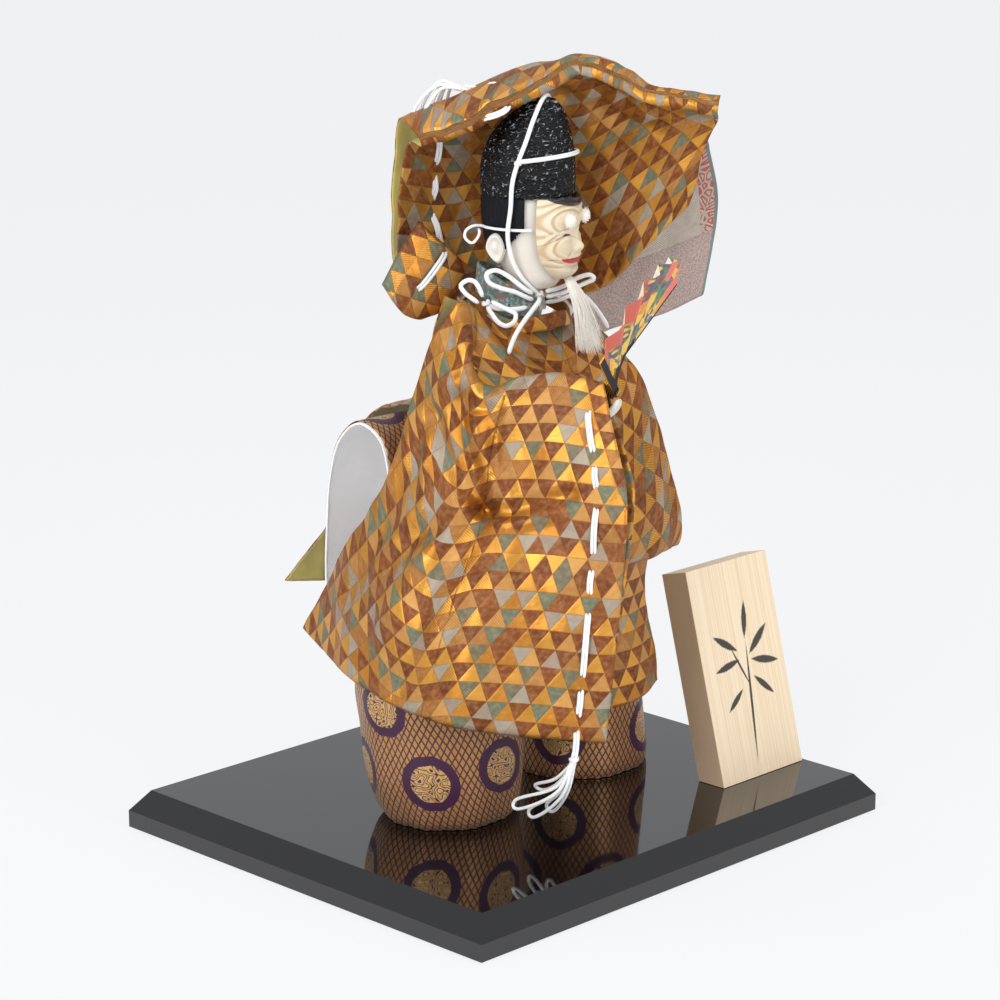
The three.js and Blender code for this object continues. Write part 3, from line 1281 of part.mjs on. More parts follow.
// Mask cord: round the hair from the mask's edge, ending in a loop behind
const [hairX, , , hairRx, hairRy] = headSections[8];
const hairReach = HAIR_THICKNESS + MASK_CORD / 2 + 0.4;
const maskCord = [62, 78, 94, 110, 126, 140].map((degrees) => {
  const x = hairX + (hairRx + hairReach) * Math.cos(rad(degrees));
  return V(x, -(hairRy + hairReach) * Math.sin(rad(degrees)), 301);
});
const MASK_LOOP = [
  [-13.5, -17.5, 301.2], [-16.5, -20.5, 299], [-16.4, -21.8, 295.5], [-13, -21, 293], [-10.6, -19.2, 295.6],
];
maskCord.push(...MASK_LOOP.map((p) => V(...p)));
cordNode(headGroup, "mask_cord", maskCord, MASK_CORD);

export default root;
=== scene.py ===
# %% [markdown]
# # A masked dancer doll on a lacquered board
# The lesson dresses a imported CAD doll: brocade robe, pleated trousers, white lacing, a carved mask with a
# hinged jaw, and a folding fan whose leaves lie between their ribs. Sizes are in millimetres until a piece is
# placed, because cloth and cords are thought of in millimetres; Blender's own unit is the metre.

# %% Load the frame
import math
import random

import bmesh
import bpy
import numpy as np
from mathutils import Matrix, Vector, noise
from mathutils.bvhtree import BVHTree


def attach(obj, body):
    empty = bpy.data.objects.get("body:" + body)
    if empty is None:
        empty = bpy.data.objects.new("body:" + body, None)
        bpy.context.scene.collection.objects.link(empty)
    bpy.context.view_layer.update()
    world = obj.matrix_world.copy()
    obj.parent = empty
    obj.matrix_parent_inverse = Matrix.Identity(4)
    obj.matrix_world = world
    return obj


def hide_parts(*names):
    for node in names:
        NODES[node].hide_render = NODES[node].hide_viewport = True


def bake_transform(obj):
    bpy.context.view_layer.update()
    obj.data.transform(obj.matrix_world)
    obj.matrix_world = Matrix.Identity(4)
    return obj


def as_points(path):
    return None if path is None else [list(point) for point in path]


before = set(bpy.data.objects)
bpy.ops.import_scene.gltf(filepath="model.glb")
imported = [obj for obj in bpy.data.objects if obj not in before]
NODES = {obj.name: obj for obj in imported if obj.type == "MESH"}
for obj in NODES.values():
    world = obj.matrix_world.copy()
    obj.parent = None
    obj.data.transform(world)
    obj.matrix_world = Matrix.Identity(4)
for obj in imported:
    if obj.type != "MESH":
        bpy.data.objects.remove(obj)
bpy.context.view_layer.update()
MM = 0.001
ROUND = 2 * math.pi

# %% [markdown]
# ## Places
# The doll is drawn in four frames, one inside the other: the figure stands on the board, the look is turned
# to its left, the head is turned a little back, and the fan has its own tilted frame. Small functions turn
# points of each frame into the room's, so every piece can be given in the numbers that suit it.

# %% Frames of the doll
BOARD_TOP = 20.3
LOOK_TURN = -45.26
FACE_TURN = -22
NECK_X = 3
FAN_PIVOT = np.array([50.8, -74.6, 231.2])
FAN_ALONG = np.array([0.514, 0.221, 0.829])
FAN_ACROSS = np.array([-0.166, -0.922, 0.349])


def turned(points, degrees):
    """Points turned about the upright axis."""
    c, s = math.cos(math.radians(degrees)), math.sin(math.radians(degrees))
    x, y, z = np.moveaxis(np.asarray(points, float), -1, 0)
    return np.stack([c * x - s * y, s * x + c * y, z], -1)


def figure(points):
    """Millimetres above the board's top, as metres in the room."""
    return (np.asarray(points, float) + [0, 0, BOARD_TOP]) * MM


def look(points):
    """The same for a figure that is turned the way the doll looks."""
    return figure(turned(points, LOOK_TURN))


def head(points):
    return look(turned(points, FACE_TURN) + [NECK_X, 0, 0])


def unit(v):
    return v / np.linalg.norm(v)


def fan(points):
    """The fan's own frame: along its first rib, across it, and up from its face."""
    along = unit(FAN_ALONG)
    axis = unit(np.cross(along, FAN_ACROSS))
    basis = np.stack([along, np.cross(axis, along), axis])
    return look(FAN_PIVOT + np.asarray(points, float) @ basis)


print("fan pivot in the room", [round(float(v), 4) for v in fan([0, 0, 0])])

# %% [markdown]
# ## Camera, floor and light
# The camera stands where the photographer's did. A white sweep and large soft lamps give the plain studio
# look; the floor glows a little only for the camera and for mirrors, so the lamps needn't be turned up.

# %% Camera
CAMERA_AT = Vector((-1.1171, -1.1031, 0.5718))
CAMERA_TO = Vector((-0.1046, -0.0998, 0.2119))
LENS = 111.78

camera_data = bpy.data.cameras.new("camera")
camera = bpy.data.objects.new("camera", camera_data)
bpy.context.scene.collection.objects.link(camera)
camera.location = CAMERA_AT
camera.rotation_mode = "QUATERNION"
camera.rotation_quaternion = (CAMERA_TO - CAMERA_AT).to_track_quat("-Z", "Y")
camera_data.lens = LENS
camera_data.sensor_width = 36
camera_data.clip_end = 20
bpy.context.scene.camera = camera
bpy.context.scene.view_settings.view_transform = "Standard"
print("camera is", round((CAMERA_TO - CAMERA_AT).length, 3), "m away")

# %% [markdown]
# ## Shader maths in Python
# A material is a graph of nodes, and a pattern is arithmetic on coordinates. Wrapping a socket in a class
# with Python's operators lets `1 - mask` add the Math node by itself, so the pattern reads as a formula.

# %% A small language for shader nodes
def operator(name, swapped=False):
    """A method that adds one Math node. Swapped when the plain number stands first, as in 1 - mask."""
    if swapped:
        return lambda value, other: value.graph.math(name, other, value)
    return lambda value, other: value.graph.math(name, value, other)


class Value:
    """A node's output that takes part in arithmetic."""

    def __init__(self, graph, socket):
        self.graph = graph
        self.socket = socket

    def __abs__(self):
        return self.graph.math("ABSOLUTE", self)

    __add__ = __radd__ = operator("ADD")
    __mul__ = __rmul__ = operator("MULTIPLY")
    __sub__ = operator("SUBTRACT")
    __rsub__ = operator("SUBTRACT", swapped=True)
    __truediv__ = operator("DIVIDE")
    __lt__ = operator("LESS_THAN")
    __gt__ = operator("GREATER_THAN")


class Graph:
    """A node tree that is written as expressions."""

    def __init__(self, tree):
        self.tree = tree

    def node(self, kind, settings=None, inputs=None, output=0):
        made = self.tree.nodes.new(kind)
        for key, value in (settings or {}).items():
            setattr(made, key, value)
        for key, value in (inputs or {}).items():
            self.feed(made.inputs[key], value)
        return Value(self, made.outputs[output])

    def feed(self, socket, value):
        """A socket takes another node's value, a screen colour such as d9a03c, or plain numbers."""
        if isinstance(value, str):
            value = tone(value)
        if isinstance(value, Value):
            self.tree.links.new(value.socket, socket)
        elif hasattr(value, "__len__") and len(value) == 3 and socket.type == "RGBA":
            socket.default_value = (*value, 1)
        else:
            socket.default_value = value

    def math(self, operation, *values):
        return self.node("ShaderNodeMath", {"operation": operation}, dict(enumerate(values)))

    def floor(self, value):
        return self.math("FLOOR", value)

    def fract(self, value):
        return self.math("FRACT", value)

    def sine(self, value):
        return self.math("SINE", value)

    def least(self, a, b):
        return self.math("MINIMUM", a, b)

    def most(self, a, b):
        return self.math("MAXIMUM", a, b)

    def ease(self, low, high, value):
        """0 below low, 1 above high, smooth between."""
        sockets = {"Value": value, "From Min": low, "From Max": high}
        return self.node("ShaderNodeMapRange", {"interpolation_type": "SMOOTHSTEP"}, sockets)

    def threads(self, run, pitch):
        """Threads side by side: 1 on each and 0 between, every pitch along run."""
        return self.sine(run * (ROUND / pitch)) * 0.5 + 0.5

    def mix(self, share, a, b):
        """Colour a where share is 0, and b where it is 1."""
        settings = {"data_type": "RGBA", "clamp_factor": True}
        return self.node("ShaderNodeMix", settings, {0: share, 6: a, 7: b}, output=2)

    def vector(self, x, y, z=0.0):
        return self.node("ShaderNodeCombineXYZ", inputs={0: x, 1: y, 2: z})

    def split(self, vector):
        made = self.tree.nodes.new("ShaderNodeSeparateXYZ")
        self.feed(made.inputs[0], vector)
        return [Value(self, socket) for socket in made.outputs]

    def cloth(self):
        """Millimetres across and along the cloth."""
        return self.split(self.node("ShaderNodeUVMap", {"uv_map": "cloth"}))[:2]

    def place(self):
        """Metres in the room."""
        return self.node("ShaderNodeTexCoord", output="Object")

    def attribute(self, name):
        return self.node("ShaderNodeAttribute", {"attribute_name": name}, output="Fac")

    def noise(self, vector, scale, detail=2.0, rough=0.5):
        sockets = {"Vector": vector, "Scale": scale, "Detail": detail, "Roughness": rough}
        return self.node("ShaderNodeTexNoise", inputs=sockets)

    def cells(self, vector, scale, feature="F1", output="Distance"):
        return self.node(
            "ShaderNodeTexVoronoi", {"feature": feature}, {"Vector": vector, "Scale": scale}, output
        )

    def chance(self, vector):
        return self.node("ShaderNodeTexWhiteNoise", inputs={"Vector": vector}, output="Value")

    def steps(self, value, stops):
        """Flat bands of colour: each stop is where it starts and its colour."""
        made = self.tree.nodes.new("ShaderNodeValToRGB")
        ramp = made.color_ramp
        ramp.interpolation = "CONSTANT"
        ramp.elements.remove(ramp.elements[-1])
        for k, (position, colour) in enumerate(stops):
            stop = ramp.elements.new(position) if k else ramp.elements[0]
            stop.color = (*colour, 1)
        self.feed(made.inputs[0], value)
        return Value(self, made.outputs[0])


class Finish(Graph):
    """A material. Its constants are set on the shader's own sockets."""

    def __init__(self, name, **constants):
        self.material = bpy.data.materials.new(name)
        self.material.use_nodes = True
        super().__init__(self.material.node_tree)
        self.shader = self.tree.nodes["Principled BSDF"]
        self.set(**constants)

    def set(self, **values):
        for socket, value in values.items():
            self.feed(self.shader.inputs[socket.replace("_", " ")], value)

    def bump(self, height, tall):
        """Relief, from 0 to 1 for so many millimetres. It comes last, and gives the finished material."""
        sockets = {"Height": height, "Distance": tall * MM}
        self.set(Normal=self.node("ShaderNodeBump", inputs=sockets))
        return self.material


def tone(code):
    """The linear colour of a screen colour such as d9a03c."""
    parts = [int(code[k:k + 2], 16) / 255 for k in (0, 2, 4)]
    return tuple(c / 12.92 if c <= 0.04045 else ((c + 0.055) / 1.055) ** 2.4 for c in parts)


print("gold is", [round(c, 3) for c in tone("dba04a")])

# %% [markdown]
# ## Floor, backdrop and lamps
# One wide white floor runs to the horizon, like paper on a table, and the room behind is as white. The floor
# is nearly white by its own colour, and plain white light is added for camera and mirror rays alone.

# %% The paper sweep and the lamps
LAMPS_LOOK_AT = Vector((0, 0, 0.2))


def paper_sweep():
    """White paper that also glows, but only for camera and mirror rays."""
    made = Finish("studio_paper")
    rays = [made.node("ShaderNodeLightPath", output=f"Is {kind} Ray") for kind in ("Camera", "Glossy")]
    paper = made.node("ShaderNodeBsdfDiffuse", inputs={"Color": (0.9, 0.905, 0.915)})
    glow = made.node("ShaderNodeEmission", inputs={"Color": (0.92, 0.925, 0.94), "Strength": 1.0})
    blend = made.node("ShaderNodeMixShader", inputs={0: made.most(*rays) * 0.86, 1: paper, 2: glow})
    made.feed(made.tree.nodes["Material Output"].inputs["Surface"], blend)
    made.tree.nodes.remove(made.shader)
    return made.material


bpy.ops.object.select_all(action="DESELECT")
bpy.ops.mesh.primitive_plane_add(size=36, location=(0, 0, -0.0005))
floor = bpy.context.object
floor.name = "studio_floor"
floor.data.materials.append(paper_sweep())

world = bpy.data.worlds.new("room")
bpy.context.scene.world = world
world.use_nodes = True
sky = Graph(world.node_tree)
lit = sky.node("ShaderNodeBackground", inputs={"Color": (0.97, 0.98, 1), "Strength": 0.62})
seen = sky.node("ShaderNodeBackground", inputs={"Color": (0.9, 0.905, 0.92), "Strength": 1.0})
camera_ray = sky.node("ShaderNodeLightPath", output="Is Camera Ray")
blend = sky.node("ShaderNodeMixShader", inputs={0: camera_ray, 1: lit, 2: seen})
sky.feed(world.node_tree.nodes["World Output"].inputs["Surface"], blend)


def softbox(name, at, size, watts):
    data = bpy.data.lights.new(name, "AREA")
    data.shape = "RECTANGLE"
    data.size, data.size_y = size
    data.energy = watts
    lamp = bpy.data.objects.new(name, data)
    bpy.context.scene.collection.objects.link(lamp)
    lamp.location = at
    lamp.rotation_mode = "QUATERNION"
    lamp.rotation_quaternion = (LAMPS_LOOK_AT - Vector(at)).to_track_quat("-Z", "Y")


softbox("key_left", (-1.5, -0.35, 1.0), (0.9, 0.9), 17)
softbox("key_front", (-0.1, -1.7, 0.8), (1.1, 0.9), 12.5)
softbox("top", (0.1, 0.1, 1.7), (1.2, 1.2), 6)
print("three soft lamps and a floor")

# %% [markdown]
# ## Cloth as a surface through given points
# Stiff brocade hangs in broad planes, so each cloth is a smooth surface drawn through a few rows of points.
# The same surface gives the cloth its own coordinates in millimetres, measured along the weave, so a woven
# pattern keeps its size and bends with the cloth.

# %% Surfaces, their facing and their own coordinates
def along_curve(points, shares):
    """A centripetal Catmull-Rom curve: points[k] is passed at share k / (n - 1). Works on rows of curves."""
    points = np.asarray(points, float)
    last = len(points) - 1
    ends = [2 * points[0] - points[1], 2 * points[-1] - points[-2]]
    knots = np.concatenate([ends[:1], points, ends[1:]])
    made = []
    for share in np.asarray(shares, float):
        k = min(last - 1, int(share * last))
        t = share * last - k
        a, b, c, d = knots[k:k + 4]
        gap = [
            np.maximum(np.sum((q - p) ** 2, -1, keepdims=True) ** 0.25, 1e-4)
            for p, q in ((a, b), (b, c), (c, d))
        ]
        out = (b - a) / gap[0] - (c - a) / (gap[0] + gap[1]) + (c - b) / gap[1]
        home = (c - b) / gap[1] - (d - b) / (gap[1] + gap[2]) + (d - c) / gap[2]
        out, home = out * gap[1], home * gap[1]
        made.append(
            b + out * t + (3 * (c - b) - 2 * out - home) * t * t + (2 * (b - c) + out + home) * t ** 3
        )
    return np.array(made)


def drape(rows, across, down):
    """Points of a surface through rows of control points: grid[i][j], i across and j down."""
    lines = np.array([along_curve(row, np.linspace(0, 1, across + 1)) for row in rows])
    return np.swapaxes(along_curve(lines, np.linspace(0, 1, down + 1)), 0, 1)


def facing(grid, towards):
    """The unit normal at each point of a grid, on the side of a direction."""
    side = np.gradient(grid, axis=0)
    fall = np.gradient(grid, axis=1)
    normals = np.cross(side, fall)
    normals /= np.linalg.norm(normals, axis=2, keepdims=True)
    return -normals if np.sum(normals @ np.asarray(towards, float)) < 0 else normals


def measures(grid):
    """Millimetres across the cloth from its middle line, and down it from its top."""
    side = np.linalg.norm(np.diff(grid, axis=0), axis=2)
    fall = np.linalg.norm(np.diff(grid, axis=1), axis=2)
    u = np.concatenate([np.zeros((1, grid.shape[1])), np.cumsum(side, 0)])
    v = np.concatenate([np.zeros((grid.shape[0], 1)), np.cumsum(fall, 1)], axis=1)
    return u - u[len(u) // 2], -v


def waves(u, v, longest, height, seed):
    """Soft unevenness: crossing waves that get shorter and lower. The same seed gives the same cloth."""
    draw = random.Random(seed)
    total = np.zeros_like(u)
    for k in range(7):
        turn, phase, bend = (draw.uniform(0, ROUND) for _ in range(3))
        length = longest * 0.78 ** k
        run = (u * math.cos(turn) + v * math.sin(turn)) * 2 * math.pi / length
        total += height * 0.8 ** k * np.sin(run + phase + 1.4 * np.sin((u - v) / longest * 3 + bend))
    return total / 2.5


def spots(grid, shares):
    """Points of a grid at (across, down) shares."""
    last = np.array(grid.shape[:2]) - 1
    places = np.asarray(shares, float) * last
    low = np.minimum(places.astype(int), last - 1)
    f = places - low
    at = lambda di, dj: grid[low[:, 0] + di, low[:, 1] + dj]
    row = lambda dj: at(0, dj) * (1 - f[:, :1]) + at(1, dj) * f[:, :1]
    return row(0) * (1 - f[:, 1:]) + row(1) * f[:, 1:]


def nearness(grid, line, reach=3.0):
    """How near a grid's points are to a line of (across, down) shares: 1 on it, 0 at reach and beyond."""
    path = spots(grid, along_curve(np.array(line, float), np.linspace(0, 1, 160)).clip(0, 1))
    flat = grid.reshape(-1, 3)
    away = np.full(len(flat), 1e9)
    for p in path:
        away = np.minimum(away, np.linalg.norm(flat - p, axis=1))
    return np.clip(1 - away / reach, 0, 1).reshape(grid.shape[:2])


def creased(grid, longest, height, seed, folds):
    """Soft waves with folds laid over them. A fold is a long ridge, or with a height below 0 a groove: its
    line of shares, how far to each side it reaches, and its height."""
    lift = waves(*measures(grid), longest, height, seed)
    for line, width, high in folds:
        near = nearness(grid, line, width)
        lift = lift + high * near * near * (3 - 2 * near)
    return lift


corners = [[[0, 0, 0], [9, 0, 0]], [[0, 9, 0], [9, 9, 0]]]
print("a surface through four corners has", drape(corners, 2, 2).shape, "points and numbers")

# %% [markdown]
# ## From grids to pieces
# A single cloth is a grid given thickness. A sleeve is a flat bag: two layers that meet in a soft fold along
# the top and the hem, and are open at the sides. Solidify gives both their thickness, with the lining as
# the second material.

# %% Meshes from grids
FOLD_WIDTH = 4.0


def mesh_piece(name, points, faces, uv=None, shades=None):
    """A mesh from room points, with the cloth's own coordinates and named values for its material."""
    data = bpy.data.meshes.new(name)
    data.from_pydata(np.asarray(points, float).reshape(-1, 3).tolist(), [], faces)
    if uv is not None:
        layer = data.uv_layers.new(name="cloth")
        corner = np.empty(len(data.loops), np.int32)
        data.loops.foreach_get("vertex_index", corner)
        layer.data.foreach_set("uv", np.asarray(uv, np.float32).reshape(-1, 2)[corner].ravel())
    for key, values in (shades or {}).items():
        values = np.ravel(values).astype(np.float32)
        data.attributes.new(key, "FLOAT", "POINT").data.foreach_set("value", values)
    data.shade_smooth()
    made = bpy.data.objects.new(name, data)
    bpy.context.scene.collection.objects.link(made)
    return made


def modify(made, kind, **settings):
    """Makes one object the active one, as a click does, adds a modifier and applies it."""
    bpy.ops.object.select_all(action="DESELECT")
    made.select_set(True)
    bpy.context.view_layer.objects.active = made
    modifier = made.modifiers.new(kind.lower(), kind)
    for key, value in settings.items():
        setattr(modifier, key, value)
    bpy.ops.object.modifier_apply(modifier=modifier.name)
    return made


def reshape(made, *steps):
    """Takes an object's mesh through steps in edit form."""
    mesh = bmesh.new()
    mesh.from_mesh(made.data)
    for step in steps:
        step(mesh)
    mesh.to_mesh(made.data)
    mesh.free()
    return made


def weld(mesh, reach=1e-6):
    bmesh.ops.remove_doubles(mesh, verts=mesh.verts, dist=reach)


def face_out(mesh):
    bmesh.ops.recalc_face_normals(mesh, faces=mesh.faces)


def dressed(made, materials, slot, *nodes, body="doll"):
    """Gives a piece its materials and its body, and hides the imported pieces whose place it takes; slot is
    not used.
    """
    for material in materials:
        made.data.materials.append(material)
    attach(made, body)
    if nodes:
        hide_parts(*nodes)
    return made


def merged(name, parts):
    """Several objects as one."""
    bpy.ops.object.select_all(action="DESELECT")
    for part in parts:
        part.select_set(True)
    bpy.context.view_layer.objects.active = parts[0]
    bpy.ops.object.join()
    parts[0].name = name
    return parts[0]


def grid_faces(across, down, wrap=False):
    """Squares of a grid, point (i, j) being number i * down + j. A wrapped grid closes along j."""
    faces = []
    for i in range(across - 1):
        for j in range(down if wrap else down - 1):
            k = (j + 1) % down
            faces.append((i * down + j, (i + 1) * down + j, (i + 1) * down + k, i * down + k))
    return faces


def outwards(made, room, way, index):
    """Turns the whole mesh so that its face at a numbered point looks the given way."""
    made.data.update()
    if made.data.vertices[index].normal.dot(Vector(room(way) - room([0, 0, 0]))) < 0:
        made.data.flip_normals()
    return made


def trimmed(made, nodes, reach):
    """Takes away what lies further than reach millimetres from the CAD nodes, under another cloth."""
    trees = []
    for node in nodes:
        data = NODES[node].data
        corners = [vertex.co[:] for vertex in data.vertices]
        trees.append(BVHTree.FromPolygons(corners, [polygon.vertices[:] for polygon in data.polygons]))

    def is_far(face):
        middle = face.calc_center_median()
        return all(tree.find_nearest(middle, reach * MM)[0] is None for tree in trees)

    def cut(mesh):
        far = [face for face in mesh.faces if is_far(face)]
        bmesh.ops.delete(mesh, geom=far, context="FACES")
        if far:
            print(made.name, "trimmed by", len(far), "faces")

    return reshape(made, cut)


def finish_cloth(made, materials, thickness, slot, node=None, keep_to=None, reach=2.5):
    """Trims a cloth to the CAD cloth it stands for, gives it its looks and thickness, and lets it ride."""
    keep_to = keep_to or (node and [node])
    if keep_to:
        trimmed(made, keep_to, reach)
    dressed(made, materials, slot, *([node] if node else []))
    settings = {"thickness": thickness * MM, "offset": -1.0, "use_even_offset": False}
    if len(materials) > 1:
        settings["material_offset"] = 1
    return modify(made, "SOLIDIFY", **settings)


def sheet(name, grid, room, towards, thickness, materials, shades=None, wrinkle=None, **how):
    """A single cloth. Its good side looks away from the direction towards, as the grid lies on that side."""
    normals = facing(grid, towards)
    uv = np.stack(measures(grid), -1)
    if wrinkle is not None:
        grid = grid + normals * wrinkle[..., None]
    across, down = grid.shape[:2]
    made = mesh_piece(name, room(grid), grid_faces(across, down), uv, shades)
    i, j = across // 2, down // 2
    outwards(made, room, -normals[i, j], i * down + j)
    return finish_cloth(made, materials, thickness, **how)


def bag(name, grid, room, towards, depths, thickness, materials, shades, wrinkle, **how):
    """A sleeve: two layers, a few millimetres apart, that meet in soft folds along the top and the hem."""
    normals = facing(grid, towards)
    across, down = grid.shape[:2]
    depth = np.interp(np.linspace(0, 1, down), np.linspace(0, 1, len(depths)), depths)
    u, v = measures(grid)
    from_edge = np.minimum(-v, v - v[:, -1:]) / (FOLD_WIDTH * np.minimum(1, depth / 8))
    swell = np.sqrt(1 - (1 - np.clip(from_edge, 0, 1)) ** 2)
    half = (depth / 2 * swell)[..., None]
    middle = grid + normals * (depth / 2)[None, :, None]
    lift = wrinkle[..., None]
    front = middle - normals * half + normals * lift
    back = middle + normals * half + normals * lift
    around = lambda face, rear: np.concatenate([face, rear[:, -2:0:-1]], axis=1)
    uv = np.stack([u, v], -1)
    count = 2 * down - 2
    made = mesh_piece(
        name, room(around(front, back)), grid_faces(across, count, wrap=True), around(uv, uv * [1, -1]),
        {key: around(value, value) for key, value in shades.items()},
    )
    i, j = across // 2, down // 2
    outwards(made, room, -normals[i, j], i * count + j)
    return finish_cloth(made, materials, thickness, **how)


def declared(made, grid, layers=1):
    """Says how large the cloth was cut: its width, and its length with every layer."""
    side = np.linalg.norm(np.diff(grid, axis=0), axis=2).sum(0)
    fall = np.linalg.norm(np.diff(grid, axis=1), axis=2).sum(1)
    width, length = float(side.mean()) * MM, float(fall.mean()) * MM * layers
    max(width, 0.0101)
    max(length, 0.0101)
    print(made.name, "is cut", round(width * 1000), "by", round(length * 1000), "mm")
    return made

# %% [markdown]
# ## Gold brocade of triangles
# The robe is woven in rows of equilateral triangles: gold, orange and tan standing, brown and greys hanging.
# A row and a place in it number each triangle, and a random draw from that number picks its colour. Gold
# threads shine, so the gold triangles are part metal, and some triangles are woven with a slanting hatch.

# %% Brocade
TRIANGLE_BASE = 10.6
TRIANGLE_HEIGHT = 9.2
THREAD, HATCH = 0.62, 1.3


def brocade(name, shade, seed=0.0):
    """The robe's triangles. Another seed draws other colours; shade darkens or lightens the whole cloth, as
    painted shade and light.
    """
    made = Finish(name, Specular_IOR_Level=0.22)
    u, v = made.cloth()
    rows = v / TRIANGLE_HEIGHT
    row = made.floor(rows)
    up = rows - row
    run = u / TRIANGLE_BASE + row * 0.5
    slack = (1 - up) - abs(made.fract(run) - 0.5) * 2
    standing = slack > 0
    number = standing * (made.floor(run) * 2) + (1 - standing) * (made.floor(run + 0.5) * 2 - 1)
    draw = made.chance(made.vector(number * 0.731 + seed, row * 1.137, seed))
    turned_row = made.chance(made.vector(row * 0.77 + seed, 3.3, seed)) > 0.8
    tall_one = abs(standing - turned_row)
    # Every colour is scaled by shade, and the hood, the turned corner and the collar are copies with shades
    # of their own: painted light and shade on one cloth.
    grown = lambda code: tuple(c * shade for c in tone(code))
    tall = made.steps(draw, [
        (0.0, grown("d89a40")), (0.34, grown("cb8834")), (0.56, grown("c28c48")), (0.72, grown("a8743a")),
        (0.84, grown("854a20")), (0.93, grown("9c9080")),
    ])
    hung = made.steps(draw, [
        (0.0, grown("7c3f18")), (0.3, grown("6c3412")), (0.5, grown("9a8f80")), (0.66, grown("656c58")),
        (0.84, grown("a66c30")), (0.93, grown("763c18")),
    ])
    colour = made.mix(tall_one, hung, tall)
    thread = made.threads(v, THREAD)
    hatch = made.threads(u + v, HATCH)
    hatched = (made.chance(made.vector(number + 17.3, row, 2.0 + seed)) > 0.5) * 0.46
    colour = made.mix(hatched * hatch, colour, grown("6e3d1c"))
    dust = made.noise(made.vector(u, v), 0.35, 3.0)
    colour = made.mix(made.ease(0.35, 0.8, dust) * 0.16, colour, grown("f2c887"))
    edge = made.least(abs(slack) * 0.5, standing * up + (1 - standing) * (1 - up))
    worn = 1 - made.ease(0.0, 0.05, edge)
    colour = made.mix(worn * 0.35, colour, grown("7a4a22"))
    stitched = made.ease(0.7, 0.95, made.attribute("seam"))
    colour = made.mix(stitched * 0.5, colour, grown("4a2a12"))
    golden = made.ease(0.0, 1.0, tall_one * (draw < 0.56))
    made.set(Base_Color=colour, Metallic=golden * 0.62 + 0.14, Roughness=dust * 0.22 + 0.3 - golden * 0.06)
    flat = made.noise(made.vector(u, v), 0.12, 3.0)
    relief = made.ease(0.0, 0.06, edge) * 0.1 + thread * 0.07 + hatch * hatched * 0.16 + flat * 0.9
    return made.bump(relief - stitched * 0.6, 0.6)


BROCADE = brocade("gold_brocade", 0.93)
print("a triangle is", TRIANGLE_BASE, "by", TRIANGLE_HEIGHT, "mm")

# %% [markdown]
# ## Trouser brocade
# Purple ground lines cross a gold filling in tall diamonds, under round medallions: a purple ring about a
# gold disc of scrolling lines. The mesh carries the distance to the nearest medallion, so the pattern costs
# one attribute instead of a node for every disc.

# %% Lattice and medallions
DIAMOND_WIDE, DIAMOND_TALL = 3.6, 6.4
DISC_EDGE, RING_EDGE, MEDALLION_REACH = 10.6, 15.2, 30.0


def lattice():
    """Diamonds in purple line on gold, and medallions where the mesh says that one is near."""
    made = Finish("purple_lattice", Sheen_Weight=0.1, Specular_IOR_Level=0.5)
    u, v = made.cloth()
    a = abs(made.fract(u / DIAMOND_WIDE + v / DIAMOND_TALL) - 0.5) * 2
    b = abs(made.fract(u / DIAMOND_WIDE - v / DIAMOND_TALL) - 0.5) * 2
    line = made.most(made.ease(0.7, 0.8, a), made.ease(0.7, 0.8, b))
    soft = made.noise(made.vector(u, v), 0.9, 3.0)
    away = MEDALLION_REACH - made.attribute("spot")
    outside = made.ease(RING_EDGE, RING_EDGE + 0.4, away)
    ring = made.ease(DISC_EDGE, DISC_EDGE + 0.4, away + soft * 0.9) * (1 - outside)
    disc = 1 - made.ease(DISC_EDGE, DISC_EDGE + 0.4, away + soft * 0.9)
    swirl = made.noise(made.vector(u, v), 0.21, 0.0)
    scroll = 1 - made.ease(0.03, 0.05, abs(made.fract(swirl * 7) - 0.5) * 0.25)
    rib = made.threads(v, 0.8)
    gold = made.mix(rib * 0.35 + soft * 0.3, "cd9a5c", "96653a")
    cloth = made.mix(line * 0.94, gold, "46142f")
    medal = made.mix(scroll, "cfa566", "4a1c3e")
    colour = made.mix(disc, cloth, medal)
    colour = made.mix(ring, colour, "3c0f34")
    shine = (1 - made.most(line, ring)) * (1 - disc * scroll)
    made.set(Base_Color=colour, Metallic=shine * 0.45, Roughness=0.5 - shine * 0.14)
    return made.bump(shine * 0.5 + rib * 0.14 + soft * 0.2, 0.4)


HAKAMA = lattice()


def plain_cloth(name, colour, second, gloss=0.55, rib=0.7, turn=0.0, depth=0.12, sheen=0.2, glow=0.0):
    """A plain woven cloth with fine ribs, a little uneven. Glow makes it emit light: painted light, which
    brightens it where the lamps leave it in shade.
    """
    made = Finish(name, Sheen_Weight=sheen, Emission_Strength=glow)
    u, v = made.cloth()
    across = u * math.cos(turn) + v * math.sin(turn)
    thread = made.threads(across, rib)
    cloud = made.noise(made.vector(u, v), 0.09, 4.0)
    shade = made.ease(0.3, 0.75, cloud) * 0.6 + thread * 0.3
    made.set(Base_Color=made.mix(shade, colour, second), Roughness=gloss + cloud * 0.15)
    return made.bump(thread * 0.4 + cloud * 1.2, depth)


# The white satin and the olive lining glow a little: painted light, which brightens them where the lamps
# leave them in shade.
SATIN = plain_cloth("white_satin", "ffffff", "f2f4f8", 0.4, 0.5, 0.0, 0.3, 0.6, 0.12)
LINING = plain_cloth("olive_satin", "d2c262", "b5a64c", 0.4, 0.5, glow=0.03)
SILK = plain_cloth("white_silk", "f1efea", "e3e0d9", 0.5, 0.6)
RED_SILK = plain_cloth("red_silk", "b8403a", "e8d9cf", 0.5, 3.0, 0.7)


